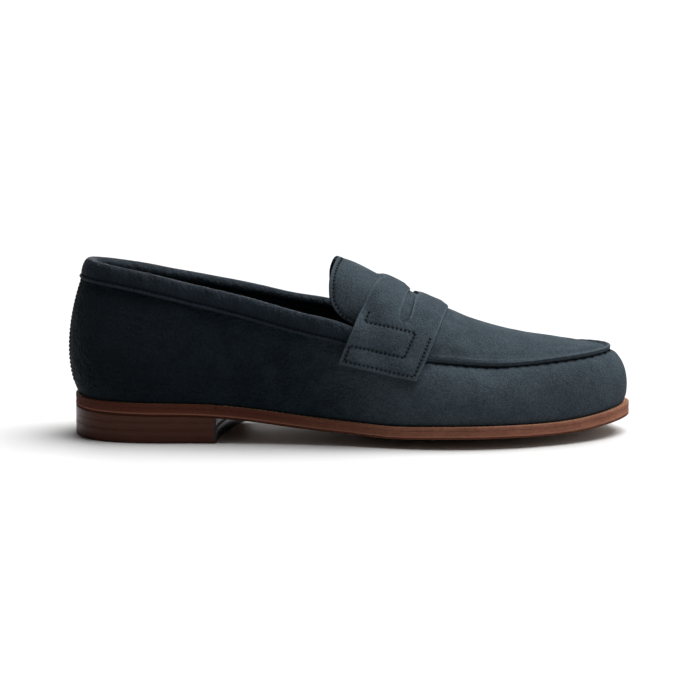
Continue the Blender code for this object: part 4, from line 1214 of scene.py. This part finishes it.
# ---- Tongue ----------------------------------------------------------------------------------
def make_tongue():
    reach_of = Spline(*zip(*TONGUE_REACH))
    shares = np.sin(np.linspace(-1, 1, 150) * math.pi / 2 * 0.965)
    steps = np.concatenate([np.linspace(0, 0.2, 22)[:-1], np.linspace(0.2, 1, 46)])[:, None]
    pitch = bpy.context.scene.loafer_sizes.stitch_pitch
    for name, node, sink, trim, thick, finish, slot in (
        ("tongue_leather", "tongue", 0.0, 0.3, 1.2, nubuck, "nubuck"),
        ("tongue_backing", "tongue_lining", 1.32, 0.15, 0.8, collar_leather, "lining_leather"),
    ):
        root = strap_rear(np.abs(shares) * 0.56) + 4.4
        tip = STRAP_CREST - reach_of(np.arcsin(np.abs(shares)) / (math.pi / 2)) + trim
        skin = tongue_point(tip + (root - tip) * steps, shares + 0 * steps)
        normals = grid_normals(skin)
        down = np.concatenate([np.zeros((1, len(shares))), np.cumsum(np.linalg.norm(
            np.diff(skin, axis=0), axis=2), axis=0)])
        from_tip = nearest(skin, skin[0, ::2])
        skin = skin - normals * sink
        lift = 0.10 * waves(skin, 16, 41) * smooth(from_tip, 1, 5)
        if node == "tongue":
            lift = lift + 0.22 * bump(from_tip, 0.7, 0.7) - 0.12 * bump(from_tip, 1.8, 0.6)
        skin = skin + normals * lift[..., None]
        # Paler along the tongue's edge: partly real wear, partly a painted highlight where the rolled edge
        # catches the light.
        masks = {"worn": bump(from_tip, 0.0, 0.75) * 0.6, "shade": 0 * from_tip}
        if node == "tongue":
            line_at = [np.interp(2.0, down[:, j], np.arange(len(down))) for j in range(len(shares))]
            lower, part = np.floor(line_at).astype(int), (np.array(line_at) % 1)[:, None]
            columns = np.arange(len(shares))
            line = skin[lower, columns] * (1 - part) + skin[lower + 1, columns] * part
            normal = normals[lower, columns]
            kept = slice(4, -4)
            place, way, facing = spaced(line[kept], normal[kept], pitch)
            skin = sewn_down(skin, normals, line[kept][::2], place, 0.10, 0.42)
            masks["shade"] = bump(nearest(skin, place), 0, 0.75) * 0.7
        obj = slab(name, skin, grid_faces(*skin.shape[:2]), thick, finish(), 0.45, masks=masks)
        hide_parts(node)
        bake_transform(obj)
    stitches = repeated("tongue_stitches", place - facing * 0.02, way, facing, (1.2, 0.95, 0.7), thread())
    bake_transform(stitches)


# ---- Collar band -----------------------------------------------------------------------------
# The band's section: how far out from the upper's raw edge and how far down from it, from the
# outer lip over the fold to the inner leg and back up through its own thickness.
BAND = np.array([
    (0.40, 10.0), (0.62, 10.3), (1.0, 10.4), (1.42, 10.2), (1.66, 9.8), (1.72, 9.35), (1.60, 8.9),
    (1.30, 8.62), (1.12, 8.4), (1.14, 8.15), (1.38, 7.8), (1.66, 7.1), (1.86, 5.8), (1.95, 4.3),
    (1.9, 2.7), (1.72, 1.2), (1.35, 0.0), (0.75, -0.9), (0.0, -1.4), (-1.2, -1.65), (-2.4, -1.5),
    (-3.5, -0.95), (-4.25, 0.0), (-4.65, 1.1), (-4.75, 2.2), (-4.6, 3.0), (-4.38, 3.45),
    (-4.38, 3.75), (-4.65, 4.2), (-4.72, 4.9), (-4.6, 5.5), (-4.25, 5.85), (-3.85, 5.6),
    (-3.65, 4.0), (-3.6, 1.4), (-3.0, 0.1), (-2.0, -0.4), (-1.0, -0.45), (0.0, -0.2), (0.33, 0.5),
    (0.36, 5.0),
])


def band_frame(run):
    u = np.asarray(run, float) % 2
    top, below = wall(u, np.ones(u.shape)), wall(u, np.full(u.shape, SEAM_V))
    level = np.ones(u.shape)
    across = wall(u + 0.002, level) - wall(u - 0.002, level)
    down = unit(below - top)
    return top, down, unit(np.cross(across, -down)), stiffened(u)


def band_point(run, out, drop):
    """A place on the collar band: along the opening, out from the upper's edge and down from it."""
    top, down, normal, stiff = band_frame(run)
    out = out - 1.3 * stiff * smooth(-out, 1.2, 3.2)
    return top + normal * out[..., None] + down * np.asarray(drop)[..., None]


def make_collar():
    runs = np.linspace(-0.522, 0.522, 620)
    section_out, section_down = BAND.T
    skin = band_point(runs[:, None] + 0 * section_out, section_out + 0 * runs[:, None],
                      section_down + 0 * runs[:, None])
    _, down, normal, _ = band_frame(runs)
    outer = ((section_out > 0.9) & (section_down > -0.5)) * smooth(10.5 - section_down, 0, 1.5)
    over = (section_down < 1.0) * (section_out > -4.0)
    fold = waves(skin, 6.0, 51, 40, (1.0, 0.5, 0.8))
    soft = 0.10 * waves(skin, 20, 53) + 0.13 * np.minimum(fold, 0.7)
    skin = skin + (normal[:, None] * (outer * soft)[..., None] - down[:, None] * (over * 0.10 * waves(
        skin, 24, 55))[..., None])
    sizes = bpy.context.scene.loafer_sizes
    rows, sunk = [], []
    for out, drop, depth in ((1.12, 8.32, -0.02), (-4.38, 3.6, -0.02)):
        line = band_point(runs[6:-6], np.full(608, out), np.full(608, drop))
        beyond = np.full(608, out + 0.4 * np.sign(out))
        facing = unit(band_point(runs[6:-6], beyond, np.full(608, drop)) - line)
        place, way, facing = spaced(line, facing, sizes.stitch_pitch + 0.15)
        rows.append((place + facing * depth, way, facing))
        sunk.append(place)
    holes = np.concatenate(sunk)
    pull = 0.38 * np.exp(-((nearest(skin, holes) / 0.75) ** 2))
    sign = np.where(section_out > -1.5, 1.0, -1.0)
    skin = skin - normal[:, None] * (pull * sign)[..., None]
    # Paler on the band's lower lip and on the top of its fold: partly real rubbing, partly a painted
    # highlight along these bright ridges.
    lip = 1.7 * np.exp(-(((section_down - 9.6) / 0.6) ** 2)) * (section_out > 1.0)
    fold_line = np.exp(-(((section_down + 1.2) / 0.8) ** 2))
    worn = np.repeat(np.clip(lip * 0.55 + fold_line * 0.35, 0, 1)[None], len(runs), axis=0)
    shade = bump(nearest(skin, holes), 0, 0.95)
    masks = {"worn": worn.ravel(), "shade": shade.ravel()}
    obj = swept("collar_fold", skin, collar_leather(), masks=masks, sharp=1.2)
    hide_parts("collar_band")
    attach(obj, "shoe")
    places, alongs, facings = (np.concatenate([r[k] for r in rows]) for k in range(3))
    stitches = repeated("collar_stitches", places, alongs, facings, (1.35, 0.95, 0.6), thread())
    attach(stitches, "shoe")


# ---- Linings ---------------------------------------------------------------------------------
def make_linings():
    for name, node, first, last, low, high, extra in (
        ("quarter_lining_leather", "quarter_lining", -0.54, 0.54, 0.05, None, 0.0),
        ("vamp_lining_leather", "vamp_lining", 0.5425, 1.4575, 0.05, 0.845, 0.0),
        ("heel_grip_pad", "heel_grip", -0.145, 0.145, 0.36, 0.76, LINING + GAP),
    ):
        runs = np.linspace(first, last, 150 if extra else 300)[:, None]
        t = np.linspace(0, 1, 34)
        length = np.linalg.norm(wall(runs, 1.0 + 0 * runs) - wall(runs, 0 * runs), axis=-1)
        top = 1 - 2.2 / length * 0.9 if high is None else high + 0 * runs
        v = low + (top - low) * t
        u = (runs + 0 * v) % 2
        skin = wall(u, v) - wall_normal(u, v) * (lining_depth(u) + extra)[..., None]
        normals = wall_normal(u, v)
        skin = skin + normals * (0.06 * waves(skin, 20, 61) - 0.06)[..., None] * (0 if extra else 1)
        obj = slab(name, skin, grid_faces(*skin.shape[:2]), LINING, lining_leather(), 0.4)
        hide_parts(node)
        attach(obj, "shoe")
    room = lambda u: REVEAL(u % 2) + UPPER + GAP + STIFFENER + GAP + LINING + LOOSE + 0.3
    bed = lambda x, y: seat(x, y) + UPPER + GAP + INSOLE + GAP
    side = [(0.3, 0, 0.0), (0.0, 0, 0.3), (0.0, 1, -0.35), (0.12, 1, -0.1), (0.4, 1, 0.0)]
    obj = plate("sock_liner_leather", sole_plan(room), bed, lambda x, y: bed(x, y) + SOCK, side,
                lining_leather())
    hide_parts("sock_liner")
    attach(obj, "shoe")


# ---- Sole and heel ---------------------------------------------------------------------------
ACROSS = (1 - np.cos(np.linspace(0, 1, 27) * math.pi)) / 2


def sole_plan(distance_of):
    """Rows across the whole sole at a distance in from its edge."""
    us = (1 - np.cos(np.linspace(0, 1, 150) * math.pi)) / 2 * 0.5 + np.linspace(0, 1, 150) * 0.5
    left, right = inset(us, distance_of(us)), inset(2 - us, distance_of(2 - us))
    right[0] = left[0]
    right[-1] = left[-1]
    return left[:, None] + (right - left)[:, None] * ACROSS[:, None]


def height_over(low):
    return lambda points: points[:, 2] - low(points[:, 0], points[:, 1])


def make_sole():
    over = height_over(tread)
    side = [(1.1, 0, 0.0), (0.7, 0, 0.04), (0.35, 0, 0.2), (0.16, 0, 0.45), (0.14, 0, 0.75),
            (0.34, 0, 0.95), (0.36, 0, 1.1), (0.10, 0, 1.25), (-0.06, 0, 1.5), (-0.04, 0, 1.8),
            (0.12, 0, 2.1), (0.12, 1, -0.3), (0.10, 1, 0.15), (0.3, 1, 0.24)]
    marks = {"bead": lambda p: bump(over(p), 1.55, 0.35),
             "lip": lambda p: 1 - smooth(over(p), 0.7, 1.15)}
    obj = plate("outsole_leather", sole_plan(lambda u: 0.0 * u), tread,
                lambda x, y: tread(x, y) + OUTSOLE, side, sole_edge_leather(), marks)
    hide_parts("outsole")
    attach(obj, "shoe")
    joint = GAP / 2 / SOLE_LENGTH
    for name, node, first, last, count in (
        ("welt_leather", "welt", BREAST_U + joint, 2 - BREAST_U - joint, 1500),
        ("heel_rand_leather", "heel_rand", -BREAST_U + joint, BREAST_U - joint, 420),
    ):
        us = np.linspace(first, last, count)
        run = run_of(inset(us, 0.0 * us))
        notch = 0.5 - 0.5 * np.cos(2 * math.pi * run / 1.7) if node == "welt" else 0 * run
        section = [(0.10, 0, -0.02), (0.04, 0, 0.4), (0.04, 1, -0.45), (0.16, 1, -0.18), (0.42, 1, -0.03),
                   (0.75, 1, 0.02), (1.15, 1, 0.02), (1.42, 1, -0.22), (1.68, 1, -0.22), (1.95, 1, 0.0),
                   (None, 1, 0.0), (None, 0, 0.0)]
        rings = []
        for k, (inwards, face, height) in enumerate(section):
            d = REVEAL(us % 2) + LASTING_MARGIN - 1.0 if inwards is None else inwards + 0 * us
            at = inset(us, d)
            notched = -0.16 * notch * (k in (3, 4, 5, 6))
            level = welt_low(at[:, 0], at[:, 1]) + WELT * face + height + notched
            rings.append(np.column_stack([at, level]))
        masks = {"side": np.tile([1, 1, 1, 1, 0.7, 0.5, 0.5, 0.5, 0.5, 0.5, 0.5, 0.5], count)}
        obj = swept(name, np.stack(rings, axis=1), sole_edge_leather(), masks=masks, sharp=0.8)
        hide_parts(node)
        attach(obj, "shoe")
    us = np.linspace(BREAST_U + 0.01, 2 - BREAST_U - 0.01, 1500)
    at = inset(us, 1.55 + 0 * us)
    line = np.column_stack([at, welt_low(at[:, 0], at[:, 1]) + WELT - 0.12])
    place, way, facing = spaced(line, np.tile(UP, (len(us), 1)), 3.0)
    stitches = repeated("welt_stitches", place, way, facing, (2.5, 0.7, 0.6), welt_thread())
    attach(stitches, "shoe")


def heel_plan():
    """Rows across the heel, from its back to the hollow breast, which runs forward inwards."""
    tries = np.linspace(0.2, 0.45, 201)
    reach = tries[EDGE(2 - tries)[:, 0] <= along(MEDIAL_BREAST_SHARE)].max() / BREAST_U
    us = np.linspace(0, 1, 70) ** 1.3 * BREAST_U
    left, right = EDGE(us), EDGE((2 - us * reach) % 2)
    plan = left[:, None] + (right - left)[:, None] * ACROSS[:, None]
    plan[..., 0] -= BREAST_HOLLOW * 4 * ACROSS * (1 - ACROSS) * ((us / BREAST_U) ** 3)[:, None]
    return plan


def make_heel():
    plan = heel_plan()
    breast_y, breast_x = plan[-1, :, 1], plan[-1, :, 0]
    at_breast = lambda p: smooth(p[:, 0] - np.interp(p[:, 1], breast_y, breast_x), -0.9, -0.5)
    flat = lambda level: lambda x, y: level + 0 * x
    lift_low = TOP_PIECE + GAP + LOWER_LIFT + GAP
    swell = 0.28  # how far each layer fills the gap over it, so that the stack looks glued
    for name, node, low, high, edge in (
        ("top_piece_leather", "top_piece", flat(0.0), flat(TOP_PIECE + swell), 0.5),
        ("heel_lift_lower_leather", "heel_lift_lower", flat(TOP_PIECE + GAP),
         flat(lift_low - GAP + swell), 0.06),
        ("heel_lift_upper_leather", "heel_lift_upper", flat(lift_low),
         lambda x, y: tread(x, y) - GAP + swell, 0.06),
    ):
        side = [(edge * 1.6, 0, 0.0), (edge * 0.5, 0, 0.12 * edge), (0.0, 0, edge * 0.9), (0.0, 1, -0.05),
                (0.01, 1, -0.02), (0.05, 1, 0.0)]
        obj = plate(name, plan, low, high, side, heel_leather(), {"breast": at_breast}, sharp=0.7)
        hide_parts(node)
        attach(obj, "shoe")
    us = np.linspace(-0.20, 0.20, 7)
    at = inset(us % 2, PIN_INSET + 0 * us)
    places = np.column_stack([at, np.full(7, 5.27)])
    pins = repeated("heel_pins", places, np.tile([1.0, 0, 0], (7, 1)), np.tile(UP, (7, 1)),
                    (1.6, 1.6, 10.6), brass(), "pin")
    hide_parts(*[f"heel_pin_{k}" for k in range(1, 8)])
    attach(pins, "shoe")


def finish_hidden():
    """The frame's own pieces that stay, inside the shoe, each in its material."""
    for node, finish in (
        ("apron_lining", lining_leather), ("insole", insole_leather), ("toe_puff", stiffener_board),
        ("heel_counter", stiffener_board), ("cork_filler", cork), ("shank", spring_steel),
    ):
        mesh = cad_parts[node].data
        mesh.materials.clear()
        mesh.materials.append(finish())


# ---- Stage -----------------------------------------------------------------------------------
FLOOR_REACH, FLOOR_DROP = 7.0, 0.0004  # metres
CAMERA_LEAN = math.radians(10)
CAMERA_AWAY = 2.083
CAMERA_AIM = Vector((0, 0, 0.044))


def make_stage():
    scene, stage = bpy.context.scene, bpy.context.scene.loafer_stage
    plane = bpy.data.meshes.new("floor")
    corners = [(x * FLOOR_REACH, y * FLOOR_REACH, -FLOOR_DROP)
               for x, y in ((-1, -1), (1, -1), (1, 1), (-1, 1))]
    plane.from_pydata(corners, [], [(0, 1, 2, 3)])
    floor = bpy.data.objects.new("floor", plane)
    scene.collection.objects.link(floor)
    paint = Paint("floor_paper")
    paint.set(Base_Color=(0.52, 0.52, 0.52), Roughness=0.9, Specular_IOR_Level=0.1)
    plane.materials.append(paint.material)
    world = bpy.data.worlds.new("studio")
    scene.world = world
    world.use_nodes = True
    surroundings = world.node_tree.nodes["Background"].inputs
    surroundings["Color"].default_value = (1, 1, 1, 1)
    surroundings["Strength"].default_value = stage.fill
    for name, way, strength, angle in (
        ("key", stage.key_way, stage.key, 50),
        ("toe_light", (1.0, -0.05, 0.38), stage.rim, 60),
        ("back_light", (-0.15, 1.0, 0.30), 1.3 * stage.rim, 30),
    ):
        light = bpy.data.lights.new(name, "SUN")
        light.energy, light.angle = strength, math.radians(angle)
        obj = bpy.data.objects.new(name, light)
        obj.rotation_euler = Vector(way).to_track_quat("Z", "Y").to_euler()
        scene.collection.objects.link(obj)
    camera = bpy.data.cameras.new("camera")
    camera.lens, camera.sensor_width, camera.clip_end = 200, 36, 50
    eye = bpy.data.objects.new("camera", camera)
    backwards = Vector((0, -math.cos(CAMERA_LEAN), math.sin(CAMERA_LEAN)))
    eye.location = CAMERA_AIM + backwards * CAMERA_AWAY
    eye.rotation_euler = (math.pi / 2 - CAMERA_LEAN, 0, 0)
    scene.collection.objects.link(eye)
    scene.camera = eye
    scene.view_settings.view_transform = "Standard"


# ---- Properties, operators and panel ---------------------------------------------------------
class LoaferSizes(bpy.types.PropertyGroup):
    """Sizes of the sewing and of the leather's shape, in millimetres."""

    stitch_pitch: FloatProperty(
        name="Stitch pitch", description="Machine stitches, middle to middle, mm", default=2.3)
    hand_pitch: FloatProperty(
        name="Hand stitch pitch", description="Stitches of the apron seam, mm", default=5.4)
    seam_pitch: FloatProperty(
        name="Back seam pitch", description="Stitches of the back seam, mm", default=2.3)
    pucker: FloatProperty(
        name="Pucker", description="How deep the vamp is drawn in at the apron seam, mm", default=0.38)
    puff: FloatProperty(
        name="Strap puff", description="Swell of the strap between its sewn lines, mm", default=1.0)
    apron_ridge: FloatProperty(
        name="Apron ridge", description="Height of the ridge inside the apron's edge, mm", default=0.55)


class LoaferFinish(bpy.types.PropertyGroup):
    """Colours of each finish."""

    nubuck_dark: FloatVectorProperty(
        name="Nubuck, dark", description="The nap stroked away", subtype="COLOR",
        default=(0.021, 0.028, 0.034))
    nubuck_light: FloatVectorProperty(
        name="Nubuck, light", description="The nap raised", subtype="COLOR", default=(0.052, 0.069, 0.083))
    # The quarter's very dark colour is partly the grained leather's own and partly painted shade at the back
    # of the shoe.
    quarter: FloatVectorProperty(
        name="Quarter", description="Grained leather at the back", subtype="COLOR",
        default=(0.0044, 0.0074, 0.0100))
    collar: FloatVectorProperty(
        name="Collar", description="Folded band", subtype="COLOR", default=(0.0046, 0.0084, 0.0125))
    lining: FloatVectorProperty(
        name="Lining", description="Inside leather", subtype="COLOR", default=(0.008, 0.010, 0.013))
    sole_edge: FloatVectorProperty(
        name="Sole edge", description="Forepart edge", subtype="COLOR", default=(0.26, 0.112, 0.072))
    # Its dark colour is partly the finish of the waist and heel edge and partly painted shade where the waist
    # turns under.
    sole_waist: FloatVectorProperty(
        name="Waist edge", description="Edge at the waist and heel", subtype="COLOR",
        default=(0.066, 0.020, 0.0115))
    sole_face: FloatVectorProperty(
        name="Sole face", description="Underside", subtype="COLOR", default=(0.33, 0.18, 0.10))
    heel: FloatVectorProperty(
        name="Heel", description="Heel stack", subtype="COLOR", default=(0.060, 0.0175, 0.0100))
    breast: FloatVectorProperty(
        name="Heel breast", description="Front face of the heel", subtype="COLOR",
        default=(0.018, 0.022, 0.028))
    thread: FloatVectorProperty(
        name="Thread", description="Upper stitching", subtype="COLOR", default=(0.003, 0.004, 0.006))
    welt_thread: FloatVectorProperty(
        name="Welt thread", description="Welt stitching", subtype="COLOR", default=(0.30, 0.15, 0.085))


class LoaferStage(bpy.types.PropertyGroup):
    """Light on the shoe."""

    key: FloatProperty(name="Key", description="Strength of the light from above", default=6.1)
    rim: FloatProperty(
        name="Side lights", description="Strength of the lights from the toe and from behind", default=1.0)
    fill: FloatProperty(name="Fill", description="Brightness of the surroundings", default=0.10)
    key_way: FloatVectorProperty(
        name="Key direction", description="Where the key light stands", subtype="DIRECTION",
        default=(0.34, 0.20, 0.92))


def operator(piece, label, text, work):
    """An operator class that makes one piece or group of like pieces."""
    def execute(self, context):
        work()
        return {"FINISHED"}
    return type(f"LOAFER_OT_{piece}", (bpy.types.Operator,), {
        "__doc__": text, "bl_idname": f"loafer.{piece}", "bl_label": label, "execute": execute})


PIECES = [
    operator("upper_wall", "Upper wall", "The vamp and quarters in one piece, with the back seam",
             make_upper_wall),
    operator("apron", "Apron", "The raised apron with its hand-sewn seam", make_apron),
    operator("strap", "Saddle strap", "The saddle strap with its coin slot and sewing", make_strap),
    operator("tongue", "Tongue", "The tongue, its backing and stitches", make_tongue),
    operator("collar", "Collar band", "The folded band round the opening", make_collar),
    operator("linings", "Linings", "Quarter, vamp and heel linings and the sock liner", make_linings),
    operator("sole", "Sole", "Outsole, welt, rand and welt stitching", make_sole),
    operator("heel", "Heel", "Heel lifts, top piece and pins", make_heel),
    operator("hidden", "Hidden pieces", "Materials of the pieces inside the shoe", finish_hidden),
    operator("stage", "Stage", "Floor, lights and camera", make_stage),
]


class LOAFER_PT_panel(bpy.types.Panel):
    """Lists the loafer's sizes, colours and pieces."""

    bl_idname = "LOAFER_PT_panel"
    bl_label = "Penny Loafer"
    bl_space_type = "VIEW_3D"
    bl_region_type = "UI"
    bl_category = "Loafer"

    def draw(self, context):
        for group in (context.scene.loafer_sizes, context.scene.loafer_finish, context.scene.loafer_stage):
            for name in group.__annotations__:
                self.layout.prop(group, name)
        for piece in PIECES:
            self.layout.operator(piece.bl_idname)


GROUPS = {"loafer_sizes": LoaferSizes, "loafer_finish": LoaferFinish, "loafer_stage": LoaferStage}


def register():
    for name, group in GROUPS.items():
        bpy.utils.register_class(group)
        setattr(bpy.types.Scene, name, PointerProperty(type=group))
    for cls in (*PIECES, LOAFER_PT_panel):
        bpy.utils.register_class(cls)


def unregister():
    for cls in reversed((*PIECES, LOAFER_PT_panel)):
        bpy.utils.unregister_class(cls)
    for name, group in GROUPS.items():
        delattr(bpy.types.Scene, name)
        bpy.utils.unregister_class(group)


def main():
    register()
    for piece in PIECES:
        getattr(bpy.ops.loafer, piece.bl_idname.split(".")[1])()


if __name__ == "__main__":
    main()
